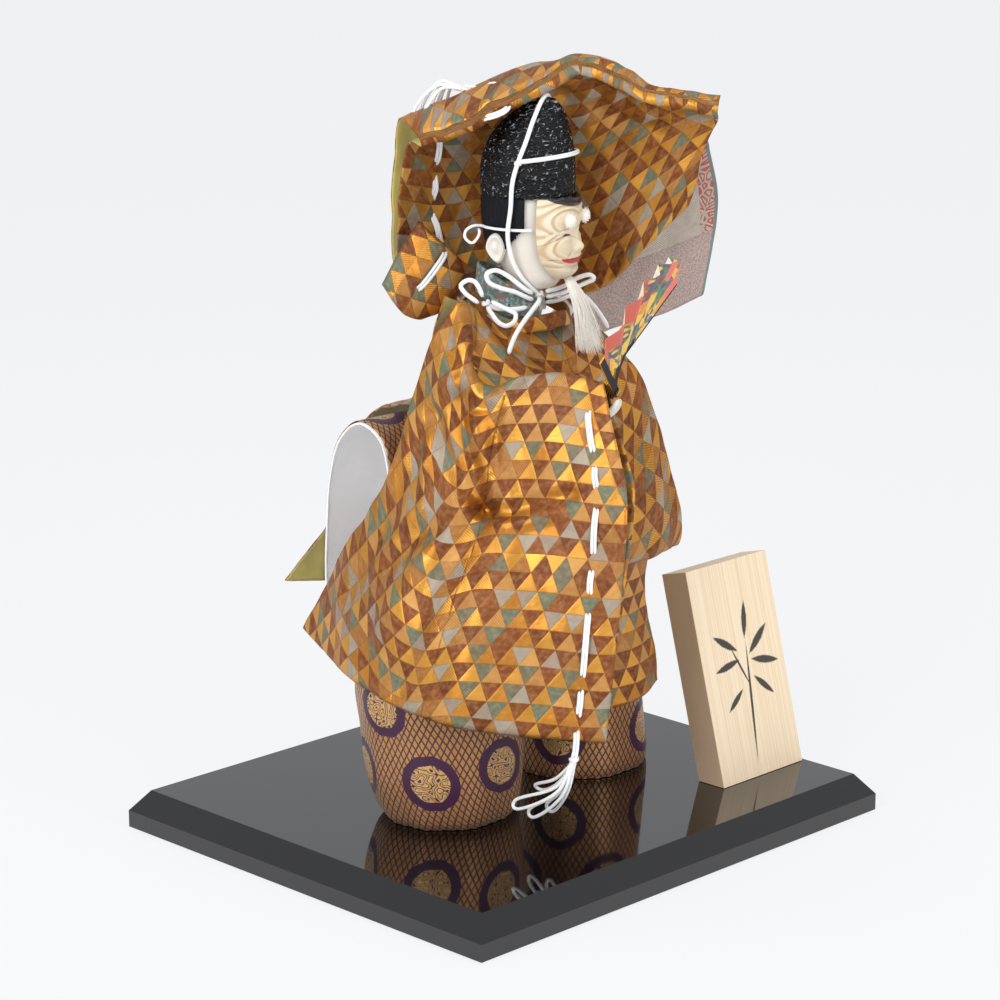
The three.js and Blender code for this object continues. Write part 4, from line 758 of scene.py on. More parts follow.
def inner_cloth():
    """Beige with a slanting rib above, a speckled panel below, and a red key pattern at the outer edge."""
    made = Finish("ribbed_inner_cloth", Sheen_Weight=0.15)
    u, v = made.cloth()
    across, down = made.attribute("across"), made.attribute("down")
    rib = made.threads(u * 0.9 + v * 0.6, 0.9)
    blot = made.noise(made.vector(u * 0.5, v), 0.5, 3.0)
    beige = made.mix(made.ease(0.2, 0.85, rib * 0.4 + blot * 0.6), "a2978a", "c6bcae")
    speck = made.noise(made.vector(u, v), 1.15, 3.0, 0.6)
    panel = made.mix(made.ease(0.44, 0.56, speck), "857d80", "b39c8e")
    panel = made.mix(made.ease(0.56, 0.64, made.noise(made.vector(u + 40, v), 0.8)), panel, "c0988a")
    lower = made.ease(0.578, 0.584, down - (across - 0.45) * 0.12)
    colour = made.mix(lower, beige, panel)
    keys = made.cells(made.vector(u, v), 0.2, "DISTANCE_TO_EDGE")
    drawn = 1 - made.ease(0.05, 0.09, abs(keys - 0.16))
    strip = made.ease(0.895, 0.9, across) * (1 - lower)
    colour = made.mix(strip * drawn, colour, "b0524a")
    rim = made.ease(0.978, 0.983, across)
    colour = made.mix(rim, colour, "6f7c78")
    made.set(Base_Color=colour, Roughness=0.62 + blot * 0.1)
    return made.bump(rib * 0.5 * (1 - lower) + speck * 0.6, 0.3)


def collar_cloth():
    """Teal figured silk with a red scroll."""
    made = Finish("teal_figured_silk", Sheen_Weight=0.15)
    spot = made.place()
    leaf = made.noise(spot, 210, 2.0)
    vine = 1 - made.ease(0.0, 0.05, abs(made.fract(leaf * 4) - 0.5) * 0.5)
    fleck = made.ease(0.52, 0.6, made.noise(spot, 420, 2.0))
    colour = made.mix(fleck, "55706d", "8ba19b")
    colour = made.mix(vine, colour, "b4524a")
    made.set(Base_Color=colour, Roughness=0.6)
    return made.bump(vine * 0.4 + fleck * 0.3, 0.25)


INNER = inner_cloth()
TEAL = collar_cloth()
print("cloth finishes ready")

# %% [markdown]
# ## The right sleeve
# The large front sleeve hangs from the bent forearm: a flat bag, its folds spreading from the elbow, with a
# woven width joined on along a seam. It is drawn by six rows of points from shoulder to hem.

# %% Right sleeve
RIGHT_SLEEVE = [
    [[-52, -19, 271], [-57, -32, 250], [-56, -42, 233], [-46, -57, 238], [-36, -73, 241], [-26, -93, 237]],
    [[-62, -9, 248], [-67, -30, 234], [-65, -42, 217], [-58, -56, 216], [-46, -78, 218], [-31, -103, 219]],
    [[-69, -1, 218], [-74, -22, 207], [-73, -41, 191], [-64, -55, 182], [-54, -83, 184], [-36, -118, 187]],
    [[-75, 7, 184], [-81, -15, 172], [-84, -38, 156], [-76, -62, 149], [-62, -86, 149], [-41, -121, 147]],
    [[-80, 37, 137], [-96, -5, 127], [-101, -38, 119], [-93, -65, 112], [-72, -91, 106], [-46, -121, 104]],
    [[-86, 66, 88], [-104, 9, 78], [-107, -29, 72], [-101, -60, 68], [-80, -92, 65], [-50, -119, 61]],
]
RIGHT_DEPTHS = [17, 19, 16, 11, 8, 7]
FINE = 112


sleeve_grid = drape(RIGHT_SLEEVE, FINE, FINE)
sleeve_wrinkle = creased(sleeve_grid, 75, 1.5, 3, (
    ([[0.56, 0.455], [0.48, 0.37], [0.38, 0.3], [0.28, 0.22]], 8, -5.6),
    ([[0.6, 0.41], [0.52, 0.32], [0.44, 0.22]], 8, 3.8),
    ([[0.53, 0.47], [0.42, 0.43], [0.28, 0.4], [0.16, 0.36]], 8, -4.4),
    ([[0.56, 0.455], [0.66, 0.455], [0.76, 0.43], [0.86, 0.41]], 6, -3.6),
    ([[0.6, 0.5], [0.72, 0.49], [0.82, 0.46]], 6, 2.0),
    ([[0.57, 0.45], [0.58, 0.36], [0.57, 0.26], [0.56, 0.17]], 5, -2.2),
    ([[0.55, 0.49], [0.43, 0.55], [0.3, 0.62], [0.2, 0.74]], 11, -3.6),
    ([[0.48, 0.5], [0.35, 0.66], [0.27, 0.88]], 12, 2.8),
    ([[0.55, 0.5], [0.47, 0.62], [0.42, 0.76], [0.39, 0.95]], 12, -2.8),
    ([[0.66, 0.52], [0.62, 0.74], [0.6, 0.98]], 14, 1.6),
    ([[0.2, 0.3], [0.12, 0.55], [0.1, 0.85]], 12, -2.6),
    ([[0.6, 0.02], [0.52, 0.07], [0.42, 0.09], [0.3, 0.08]], 6, 2.4),
    ([[0.1, 0.13], [0.3, 0.16], [0.46, 0.15]], 6, -2.0),
    ([[0.2, 0.2], [0.17, 0.34], [0.2, 0.5]], 8, 2.0),
))
seam = nearness(sleeve_grid, [[0.56, 0.1], [0.56, 0.4], [0.52, 0.7], [0.5, 0.99]])
right_sleeve = bag(
    "right_sleeve_brocade", sleeve_grid, figure, (1, 0, 0), RIGHT_DEPTHS, 0.9, [BROCADE], {"seam": seam},
    -sleeve_wrinkle, slot="brocade", node="right_sleeve", keep_to=["right_sleeve", "lacing_right"], reach=8,
)
declared(right_sleeve, sleeve_grid, layers=2)

# %% [markdown]
# ## The left sleeve over the head
# The dancer has thrown the left sleeve over the hat. It frames the head from behind like a hood, and its
# lower corner is turned forward. The inner sleeve shows under it on the far side.

# %% Left sleeve, its turned corner and the inner sleeve
LEFT_SLEEVE = [
    [
        [-52, 24, 256], [-34, 32, 250], [-12, 44, 252], [19, 50, 254],
        [50, 46, 258], [73, 40, 280], [95, 36, 303],
    ],
    [
        [-56, 20, 283], [-34, 34, 276], [-12, 46, 279], [19, 52, 278],
        [46, 46, 279], [75, 38, 294], [99, 33, 315],
    ],
    [
        [-54, 15, 310], [-34, 32, 305], [-12, 44, 303], [19, 50, 308],
        [45, 42, 309], [75, 34, 315], [101, 30, 329],
    ],
    [
        [-52, 9, 330], [-32, 24, 329], [-11, 34, 328], [18, 40, 334],
        [44, 34, 339], [76, 29, 340], [106, 26, 343],
    ],
    [
        [-48, 0, 341], [-30, 6, 348], [-10, 6, 357], [18, 6, 368],
        [43, 8, 372], [77, 18, 355], [109, 20, 351],
    ],
    [
        [-41, -14, 340], [-25, -18, 345], [-7, -20, 354], [16, -16, 366],
        [36, -5, 377], [72, 10, 362], [108, 12, 355],
    ],
]
LEFT_DEPTHS = [5, 6, 7, 9, 14, 9]
HOOD_BACK, CORNER_BACK = (0, 1, 0.5), (-0.5, 1, 0)
TURNED_CORNER = [
    [[-63, -4, 270], [-54, 2, 286], [-44, 8, 301]],
    [[-56, -6, 260], [-43, 1, 272], [-31, 9, 289]],
    [[-48, -2, 251], [-32, 6, 256], [-17, 17, 275]],
    [[-36, 20, 250], [-20, 33, 257], [-9, 44, 268]],
]
INNER_SLEEVE = [
    [[34, 54.6, 274], [52, 61, 292], [80, 63, 317], [107, 62, 334]],
    [[34, 53, 253], [52, 60, 268], [82, 64, 285], [113, 66, 302]],
    [[38, 52, 224], [56, 60, 233], [84, 66, 240], [106, 68, 250]],
]
INNER_DEPTHS = [17, 15, 6]

hood_grid = drape(LEFT_SLEEVE, 120, 100)
hood_wrinkle = creased(hood_grid, 60, 1.1, 11, (
    ([[0.36, 0.98], [0.5, 0.8], [0.66, 0.7], [0.85, 0.66]], 8, 1.3),
    ([[0.55, 0.95], [0.6, 0.8], [0.72, 0.5]], 9, -1.0),
    ([[0.3, 0.75], [0.28, 0.5], [0.3, 0.2]], 8, 1.0),
    ([[0.1, 0.9], [0.12, 0.5], [0.1, 0.2]], 7, -0.8),
))
seam = nearness(hood_grid, [[0.32, 0.99], [0.4, 0.9]])
left_sleeve = bag(
    "left_sleeve_brocade", hood_grid, look, HOOD_BACK, LEFT_DEPTHS, 0.9,
    [brocade("gold_brocade_hood", 0.92, 7.0), LINING], {"seam": seam}, hood_wrinkle, slot="brocade",
)
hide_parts("left_sleeve")
declared(left_sleeve, hood_grid, layers=2)

corner_grid = drape(TURNED_CORNER, 50, 60)
corner_lift = waves(*measures(corner_grid), 30, 0.4, 5)


def pillow(name, grid, room, towards, depth, lift, material, rounding=2.5):
    """A cloth turned over on itself: closed all round, with rounded edges."""
    normals = facing(grid, towards)
    across, down = grid.shape[:2]
    u, v = measures(grid)
    edge = np.minimum(np.minimum(-v, v - v[:, -1:]), np.minimum(u - u[:1], u[-1:] - u)) / rounding
    half = (depth / 2 * np.sqrt(1 - (1 - np.clip(edge, 0, 1)) ** 2))[..., None]
    middle = grid + normals * depth / 2 + normals * lift[..., None]
    faces = grid_faces(across, down)
    faces += [tuple(k + across * down for k in face[::-1]) for face in faces]
    uv = np.stack([u, v], -1)
    points = np.stack([middle - normals * half, middle + normals * half])
    made = mesh_piece(name, room(points), faces, np.stack([uv, uv + [31, 0]]))
    return dressed(reshape(made, weld, face_out), [material], "brocade")


corner = pillow(
    "left_sleeve_corner", corner_grid, look, CORNER_BACK, 4.5, corner_lift,
    brocade("gold_brocade_corner", 0.95, 13.0),
)
declared(corner, corner_grid)

inner_grid = drape(INNER_SLEEVE, 70, 70)
share = np.meshgrid(np.linspace(0, 1, 71), np.linspace(0, 1, 71), indexing="ij")
inner_sleeve = bag(
    "inner_sleeve_cloth", inner_grid, look, (0, 1, 0), INNER_DEPTHS, 0.8, [INNER, SILK],
    {"across": share[0], "down": share[1]}, creased(inner_grid, 40, 0.6, 21, ()), slot="inner_cloth",
    node="inner_sleeve_left", reach=3,
)
declared(inner_sleeve, inner_grid, layers=2)

# %% [markdown]
# ## The robe's front, skirt and back
# Under the sleeves the robe is one wide panel, bloused over the belt in front and carried out at the back by
# the stiff trousers. Each panel is a single cloth.

# %% Robe
ROBE_FRONT = [
    [[-44, -10, 270], [-22, -20, 254], [2, -29, 249], [28, -23, 255], [42, 0, 261]],
    [[-52, -19, 245], [-27, -36, 240], [0, -39, 238], [24, -37, 239], [42, -24, 246]],
    [[-50, -38, 221], [-23, -57, 215], [0, -61, 214], [22, -62, 215], [42, -57, 222]],
    [[-34, -62, 186], [-18, -73, 183], [0, -78, 182], [22, -79, 182], [42, -76, 182]],
    [[-34, -76, 158], [-18, -85, 154], [0, -90, 153], [22, -90, 153], [42, -86, 153]],
    [[-34, -74, 142], [-18, -82, 139], [0, -87, 138], [22, -87, 138], [42, -84, 139]],
    [[-34, -64, 140], [-18, -68, 137], [0, -70, 136], [22, -70, 136], [42, -68, 137]],
]
ROBE_SKIRT = [
    [[-33, -63.6, 142], [-18, -67.5, 139], [0, -69.5, 138], [20, -69.5, 138], [38, -67.9, 138.6]],
    [[-36, -62, 108], [-18, -66, 108], [2, -64, 107], [20, -66, 107], [40, -62, 108]],
    [[-36, -64, 82], [-18, -69, 81], [3, -66, 81], [24, -69, 82], [46, -63, 84]],
    [[-36, -66, 54], [-18, -71, 53], [4, -68, 54], [28, -71, 56], [50, -64, 60]],
]
ROBE_BACK = [
    [[-42, 0, 268], [-19, 10, 260], [4, 17.8, 261], [26, 10, 258], [42, 8, 257]],
    [[-42, 8, 250], [-20, 24, 248], [2, 29, 248], [24, 27, 248], [42, 14, 248]],
    [[-40, 12, 226], [-18, 28, 224], [2, 32, 224], [22, 30, 224], [42, 16, 226]],
    [[-38, 24, 210], [-18, 36, 211], [2, 38, 211], [22, 38, 211], [44, 34, 210]],
    [[-22, 58, 199], [-6, 59, 200], [10, 60, 200], [28, 59, 200], [47, 57, 199]],
    [[-16, 86, 188], [-4, 87, 188], [12, 87, 188], [29, 87, 188], [48, 86, 188]],
    [[-25, 97, 160], [-8, 98, 160], [8, 98, 160], [28, 98, 160], [48, 97, 160]],
    [[-32, 101, 130], [-14, 100, 130], [6, 104, 130], [28, 100, 130], [50, 103, 130]],
    [[-41, 128, 94], [-18, 118, 92], [6, 126, 91], [30, 118, 92], [54, 126, 94]],
]
CLOTH, BACK_THICKNESS, SEEN_CLOTH = 1.0, 1.6, 3.7
for name, rows, size, node, towards, folds in (
    ("robe_front_brocade", ROBE_FRONT, (90, 130), "robe_front", (0, 1, 0.3), [
        ([[0.2, 0.02], [0.26, 0.12], [0.42, 0.2], [0.6, 0.22]], 6, -1.6),
        ([[0.12, 0.1], [0.3, 0.3], [0.6, 0.38]], 8, 1.4),
    ]),
    ("robe_skirt_brocade", ROBE_SKIRT, (80, 80), "robe_skirt", (0, 1, 0.3), []),
    ("robe_back_brocade", ROBE_BACK, (90, 170), "robe_back", (0, -1, -0.3), [
        ([[0.3, 0.35], [0.3, 0.6], [0.25, 0.98]], 9, 1.2),
    ]),
):
    grid = drape(rows, *size)
    if node == "robe_back":
        grid = grid - facing(grid, towards) * BACK_THICKNESS
    shades = {}
    if node == "robe_front":
        shades["seam"] = nearness(grid, [[0.52, 0.0], [0.54, 0.12], [0.53, 0.27]])
    panel = sheet(
        name, grid, figure, towards, CLOTH, [BROCADE, LINING], shades,
        -creased(grid, 55, 0.8, len(name), folds), slot="brocade", node=node, reach=SEEN_CLOTH,
    )
    declared(panel, grid)

# %% [markdown]
# ## The trousers
# Wide pleated trousers end in balloon-like legs, gathered in at the foot. The legs and the seat are lofted
# ovals with soft vertical pleats, and their medallions are given by turn round the leg and height.

# %% Trousers
RIGHT_LEG = [
    [-52, -10, 0.3, 33, 31], [-52, -10, 5, 37, 35], [-53, -9, 22, 41, 40], [-54, -8, 48, 42, 43],
    [-55, -8, 74, 44, 43], [-45, -8, 99, 38, 38],
]
LEFT_LEG = [
    [56, -3, 0.3, 37, 32], [56, -3, 5, 38, 34], [55, -3, 25, 36, 34], [53, -3, 50, 34, 34],
    [51, -2, 74, 34, 35], [47, -1, 99, 35, 35],
]
SEAT = [
    [3, -4, 99.3, 84, 42], [2, -2, 118, 72, 43], [0, 0, 140, 58, 41], [0, 1, 165, 48, 36],
    [0, 2, 188, 45, 34], [0, 2, 202, 42, 32],
]
FLARE = [[40, 150], [41, 172], [47, 187], [62, 193], [77, 182], [85, 160], [88, 131], [89, 104], [85, 74]]
FLARE_HALF = 45


def oval_grid(sections, around, up, pleats=0, depth=0.0, gather=0.0):
    """A tube through ovals, with vertical pleats that deepen downwards, gathered in at the foot."""
    rings = along_curve(np.array(sections, float), np.linspace(0, 1, up + 1))
    turn = np.linspace(0, ROUND, around, endpoint=False)
    share = np.linspace(0, 1, up + 1)
    grid = np.zeros((around, up + 1, 3))
    for j, (x, y, z, rx, ry) in enumerate(rings):
        fall = 1 - share[j]
        ripple = depth * np.sin(pleats * turn + 0.6 * np.sin(2 * turn)) * (0.25 + 0.75 * fall)
        ripple = ripple + gather * np.sin(31 * turn + 3) * math.exp(-(share[j] / 0.05) ** 2)
        around_it = [x + (rx + ripple) * np.cos(turn), y + (ry + ripple) * np.sin(turn), z + 0 * turn]
        grid[:, j] = np.stack(around_it, -1)
    return grid


def medallions(u, v, centres):
    """How much nearer than MEDALLION_REACH the nearest medallion is."""
    near = np.full(u.shape, MEDALLION_REACH)
    for cu, cv in centres:
        near = np.minimum(near, np.hypot(u - cu, v - cv))
    return MEDALLION_REACH - near


def trouser(name, sections, node, radius, rows, up=80, gather=0.5):
    """A leg or the seat. Its medallions are given by turn in degrees from the left side, and height."""
    grid = oval_grid(sections, 150, up, 9, 0.7, gather)
    closed = np.concatenate([grid, grid[:1]])
    u, v = measures(closed)
    spot = medallions(u, -v, [((turn - 180) * math.pi / 180 * radius, height) for turn, height in rows])
    made = mesh_piece(name, figure(closed), grid_faces(151, up + 1), np.stack([u, -v], -1), {"spot": spot})
    reshape(made, weld)
    first = made.data.polygons[0]
    middle = Vector(figure(grid.reshape(-1, 3).mean(0)))
    if (Vector(first.center) - middle).dot(first.normal) < 0:
        made.data.flip_normals()
    finish_cloth(made, [HAKAMA, SILK], 1.1, slot="hakama_cloth", node=node, reach=3.0)
    return declared(made, closed)


trouser("hakama_right", RIGHT_LEG, "hakama_leg_right", 42, [
    (182, 68), (215, 30), (271, 36), (310, 70), (325, 28), (148, 30), (110, 66), (72, 28), (34, 62),
])
trouser("hakama_left", LEFT_LEG, "hakama_leg_left", 35, [
    (250, 58), (300, 24), (205, 24), (345, 58), (30, 24), (80, 58), (130, 24), (165, 60),
])
seat_spots = [(turn, 31) for turn in range(0, 360, 60)]
trouser("hakama_seat_cloth", SEAT, "hakama_seat", 55, seat_spots, up=70, gather=0)

# %% [markdown]
# ## The stiff back of the trousers
# A broad stiffened panel arches up and out behind the legs. Its curve is drawn once from the side and carried
# across, the patterned cloth lies over it, the white satin under it, and white piping closes both edges.

# %% The stiff back
FLARE_WAY = np.array((0, 1, 0.6))
FLARE_SPOTS = [
    (-30, -60), (30, -60), (0, -85), (-32, -112), (32, -112), (0, -140), (-34, -165), (34, -165),
]
flare_rows = [[[side * FLARE_HALF, y, z] for side in (-1, -0.33, 0.33, 1)] for y, z in FLARE]
flare_grid = drape(flare_rows, 60, 130)
flare_normals = facing(flare_grid, FLARE_WAY)
outer_grid = flare_grid + flare_normals * 2.0
flare = sheet(
    "hakama_back_cloth", outer_grid, figure, -FLARE_WAY, 0.9, [HAKAMA],
    {"spot": medallions(*measures(flare_grid), FLARE_SPOTS)}, slot="hakama_cloth", node="hakama_back",
)
declared(flare, outer_grid)
lining = sheet(
    "hakama_back_lining", flare_grid + flare_normals * 0.2, figure, FLARE_WAY, 0.7, [SATIN],
    wrinkle=creased(flare_grid, 26, 0.22, 8, ()), slot="white_cloth", keep_to=["hakama_back"],
)
declared(lining, flare_grid)


def tube(name, points, diameter, room, sides=12, steps=None, material=None):
    """A cord as a closed tube with rounded ends, and the middles of its rings in the room."""
    rough = along_curve(np.array(points, float), np.linspace(0, 1, 400))
    run = np.concatenate([[0], np.cumsum(np.linalg.norm(np.diff(rough, axis=0), axis=1))])
    steps = steps or max(12, int(run[-1] / (0.45 * diameter)))
    even = np.linspace(0, run[-1], steps + 1)
    line = np.stack([np.interp(even, run, rough[:, k]) for k in range(3)], -1)
    tangent = np.gradient(line, axis=0)
    tangent /= np.linalg.norm(tangent, axis=1, keepdims=True)
    normal = unit(np.cross(tangent[0], [0.3, 0.2, 1.0]))
    turn = np.linspace(0, ROUND, sides, endpoint=False)
    rings, uv = [], []
    for k in range(steps + 1):
        normal = unit(normal - tangent[k] * (normal @ tangent[k]))
        other = np.cross(tangent[k], normal)
        from_end = min(k, steps - k)
        radius = diameter / 2 * ((0.5, 0.86)[from_end] if from_end < 2 else 1)
        rings.append(line[k] + radius * (np.cos(turn)[:, None] * normal + np.sin(turn)[:, None] * other))
        uv.append(np.stack([np.full(sides, run[-1] * k / steps), turn * diameter / 2], -1))
    count = (steps + 1) * sides
    faces = grid_faces(steps + 1, sides, wrap=True)
    faces += [tuple(range(sides)), tuple(range(count - 1, count - sides - 1, -1))]
    made = mesh_piece(name, room(np.array(rings)), faces, np.array(uv))
    made.data.materials.append(material or CORD)
    return reshape(made, face_out), room(line)


piping = []
for k, (edge, aside) in enumerate(((0, -0.6), (-1, 0.6))):
    path = (flare_grid + flare_normals * 0.4)[edge, ::6] + [aside, 0, 0]
    piping.append(tube(f"piping_{k}", path, 1.3, figure, sides=8, steps=120, material=SATIN)[0])
dressed(merged("hakama_back_piping", piping), [], "white_cloth")
print("trousers made")

# %% [markdown]
# ## White cords
# Round silk cord laces the sleeves, holds the hat and the mask, and ties the robe. Lacing runs in and out of
# the cloth, doubled, so its stitches follow the same surface as the sleeve, and what is left over hangs from
# its knot in long loops. The real length of each free end is printed, as a cord is cut before it is tied.

# %% Cord finish and the free cords
def cord_finish():
    made = Finish("white_silk_cord", Sheen_Weight=0.25, Subsurface_Weight=0.08)
    u, v = made.cloth()
    ply = made.threads(v * 1.6 + u, 1.1)
    made.set(Base_Color=made.mix(ply * 0.35, "f6f6f5", "e2e2e4"), Roughness=0.5 + ply * 0.08)
    return made.bump(ply, 0.07)


CORD = cord_finish()
BOW_CORD, LACING_CORD, LOOP_CORD, MASK_CORD = 2.4, 1.65, 1.7, 1.5
SMALL_KNOT, LACING_KNOT = (1.5, 1.9), (1.7, 1.9)
CHIN_LOOP_RIGHT = [
    [13.8, -18, 267.6], [9.5, -21.6, 270.8], [6, -22, 273.6], [1, -22, 277.5], [-5, -23.8, 280.5],
    [-9.5, -26, 279], [-8.5, -27, 275.2], [-3, -25.6, 272], [5, -22.8, 269.2], [10.7, -20.3, 266.1],
    [13.9, -17.6, 264.3],
]
CHIN_LOOP_LEFT = [
    [20.6, -12.2, 267.8], [25, -8.4, 268], [30.5, -4, 269.2], [37, 0.6, 272.4], [43.5, 3.6, 273.4],
    [45.6, 5, 271.2], [41, 4.6, 268.9], [35, 1.4, 266.8], [29, -3.6, 265.2], [23.5, -8.2, 264.6],
    [20.8, -10.4, 264.5],
]
CHIN_TAIL_RIGHT = [
    [17.2, -15.9, 264.7], [17.2, -20.4, 265.2], [16.7, -27, 264.9], [13.6, -32.5, 261.8],
    [10.4, -37.5, 258.6], [7, -42, 254.4], [4.6, -45, 250.6], [2.6, -47.6, 246], [1.6, -49, 242.6],
]
CHIN_TAIL_LEFT = [
    [20.8, -9, 261.4], [27, -3.4, 261.6], [34, 0, 263.4], [39.6, 1, 263.2], [45.4, 2, 257.6],
    [51, 3.4, 249.4], [53, 4, 245.6],
]
COLLAR_RUN = [
    [-10, -29.6, 264.6], [-5, -29.4, 262.2], [-1, -29, 261.8], [5, -28.4, 261.4], [11, -26.4, 262.2],
]
COLLAR_LOOP_BIG = [
    [-11.6, -29.4, 267.9], [-12.8, -28.6, 271.5], [-15.5, -27.6, 275.4], [-19, -27, 276],
    [-22.5, -27.4, 273.4], [-20.5, -28.6, 270], [-16.6, -29.6, 267], [-13.5, -30.2, 264.9],
]
COLLAR_LOOP_SMALL = [
    [-9.2, -32.9, 263.4], [-7, -35.4, 260.6], [-3.5, -37.4, 256.4], [0.5, -38, 254.8], [4.4, -36.6, 256.6],
    [5, -34, 260.2], [1.4, -32.6, 261.9], [-4, -32.6, 264.6], [-7, -32, 266.2],
]


def tied_knot(name, at, room, size, diameter):
    """A small round knot: a cord wound twice on itself."""
    turn = np.linspace(0, 4.4 * math.pi, 40)
    path = np.stack([
        size * np.cos(turn) * (0.75 + 0.25 * np.cos(turn * 0.5)), size * np.sin(turn),
        np.linspace(-0.6, 0.6, 40) * size + 0.5 * size * np.sin(turn * 0.5),
    ], -1)
    return tube(name, np.asarray(at) + path, diameter, room, sides=10, steps=90)[0]


def free_cord(node, points):
    """A bow's loop or tail; the length it was cut to is printed."""
    name = node + "_cord"
    made, line = tube(name, points, BOW_CORD, look, sides=14)
    dressed(made, [], "white_cord", node)
    length = float(np.linalg.norm(np.diff(line, axis=0), axis=1).sum())
    tuple(line[0])
    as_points(line)
    print(name, "is", round(length * 1000), "mm long")
    return made


free_cord("chin_loop_right", CHIN_LOOP_RIGHT)
free_cord("chin_loop_left", CHIN_LOOP_LEFT)
free_cord("chin_tail_right", CHIN_TAIL_RIGHT)
free_cord("chin_tail_left", CHIN_TAIL_LEFT)
collar_run = dressed(tube("collar_run_cord", COLLAR_RUN, BOW_CORD, look)[0], [], "white_cord", "collar_cord")
collar_knot = dressed(tied_knot("collar_knot", COLLAR_RUN[0], look, *SMALL_KNOT), [], "white_cord")
free_cord("collar_loop_big", COLLAR_LOOP_BIG)
free_cord("collar_loop_small", COLLAR_LOOP_SMALL)

# %% Lacing
LACING = 2.2
WITHIN, OUTSIDE, INSIDE = 0.8, -LACING / 2 - 0.1, 3.2


def on_cloth(grid, towards, lift):
    """A function that gives the point of a cloth at (across, down), a reach in millimetres under its face."""
    normals = facing(grid, towards)
    surface = grid + normals * lift[..., None]

    def place(u, share, reach):
        return spots(surface, [[u, share]])[0] + unit(spots(normals, [[u, share]])[0]) * reach

    return place


def stitched(place, stitches, margin):
    points = []
    for k, (start, end) in enumerate(stitches):
        points.append(place(start, WITHIN))
        if end - start > 3 * margin:
            points += [place(start + margin, OUTSIDE), place(end - margin, OUTSIDE)]
        else:
            points.append(place((start + end) / 2, OUTSIDE))
        points.append(place(end, WITHIN))
        if k < len(stitches) - 1:
            points.append(place((end + stitches[k + 1][0]) / 2, INSIDE))
    return points


def doubled(name, points, room, away):
    """Two thin cords side by side: away is the direction that the cloth faces."""
    points = np.array(points, float)
    side = np.cross(np.gradient(points, axis=0), away)
    side /= np.linalg.norm(side, axis=1, keepdims=True) + 1e-9
    return [
        tube(f"{name}_{k}", points + side * apart, LACING_CORD, room, sides=10)[0]
        for k, apart in enumerate((-0.8, 0.8))
    ]


def tassel(name, knot_at, loops, room):
    """Long loops of cord that leave a knot: each goes out by its bend to its end, turns, and comes back."""
    made = []
    for k, (bend, end) in enumerate(loops):
        bend, end, knot = (np.array(point, float) for point in (bend, end, knot_at))
        away = unit(end - bend)
        aside = unit(np.cross(away, [0.5, -0.6, 0.2 + 0.3 * k])) * 2.1
        turn = 2 * math.pi * k / len(loops)
        leave = knot + [0.8 * math.cos(turn), 0.8 * math.sin(turn), -0.5]
        path = [leave, bend - aside * 0.5, end - aside, end + away * 1.9, end + aside, bend + aside * 0.7,
                knot + [0.8 * math.cos(turn + 2), 0.8 * math.sin(turn + 2), -0.7]]
        path = along_curve(path, np.linspace(0, 1, 64))
        made.append(tube(f"{name}_{k}", path, LOOP_CORD, room, sides=10)[0])
    return made


def laced(node, points, knot, loops, room, away):
    """A sleeve's lacing: the doubled cord, the loops left over at its end, and the knot."""
    parts = doubled(node, points, room, away) + tassel(node + "_strand", knot, loops, room)
    parts.append(tied_knot(node + "_knot", knot, room, *LACING_KNOT))
    return dressed(merged(node + "_cord", parts), [], "white_cord", node)


right_face = on_cloth(sleeve_grid, (1, 0, 0), -sleeve_wrinkle)
right_place = lambda share, reach: right_face(0.925, share, reach)
RIGHT_STITCHES = [
    [0.17, 0.294], [0.335, 0.39], [0.445, 0.56], [0.602, 0.654], [0.698, 0.841], [0.876, 0.934],
]
RIGHT_KNOT = [-63.4, -110, 54.6]
right_points = [right_place(0.1, INSIDE), right_place(0.14, INSIDE)]
right_points += stitched(right_place, RIGHT_STITCHES, 0.026)
right_points += [
    right_place(0.955, INSIDE - 0.4), right_place(0.973, WITHIN), right_place(0.985, OUTSIDE - 0.3),
    [-62.8, -110.6, 59.6], RIGHT_KNOT,
]
RIGHT_STRANDS = [
    [[-65.5, -101, 38], [-67.5, -74, 23]], [[-63, -101, 35], [-60.5, -78, 17.5]],
    [[-60.5, -102, 36.5], [-53.5, -84, 20]], [[-62, -98, 41], [-53, -76, 29]],
]
laced("lacing_right", right_points, RIGHT_KNOT, RIGHT_STRANDS, figure, (-0.85, -0.5, 0))

hood_face = on_cloth(hood_grid, HOOD_BACK, hood_wrinkle)
corner_face = on_cloth(corner_grid, CORNER_BACK, corner_lift)
LEFT_KNOT = [-21, 6, 368.4]
LEFT_STITCHES = [
    (0.36, WITHIN), (0.39, INSIDE), (0.43, WITHIN), (0.475, OUTSIDE), (0.52, WITHIN), (0.555, INSIDE),
    (0.59, WITHIN), (0.625, OUTSIDE), (0.735, OUTSIDE), (0.77, WITHIN), (0.83, INSIDE), (0.9, INSIDE + 1),
]
OVER_RIDGE = [
    [-8.5, -20.4, 357.4], [-4, -20.8, 358.8], [0.6, -19.4, 361.4], [1.4, -13.4, 367.4], [-1.4, -8, 370.4],
    [-6.5, -3, 371.4], [-12, -0.6, 368.6], [-17, 2, 369.2], [-21, 6, 368.4],
]
LEFT_STRANDS = [
    [[-32, 7, 371.5], [-42.5, 9, 353]], [[-30, 10, 370.5], [-38, 14, 354]],
    [[-33, 4, 369.5], [-44.5, 3, 357]], [[-28, 12, 369.5], [-33.5, 18, 356]],
]
CORNER_STITCH = [(0.34, 6.1), (0.37, 2.2), (0.42, OUTSIDE), (0.88, OUTSIDE), (0.93, 2.2), (0.96, 6.5)]
left_points = [corner_face(across, 0.38, reach) for across, reach in CORNER_STITCH]
left_points.append(hood_face(0.14, 0.33, OUTSIDE - 2))
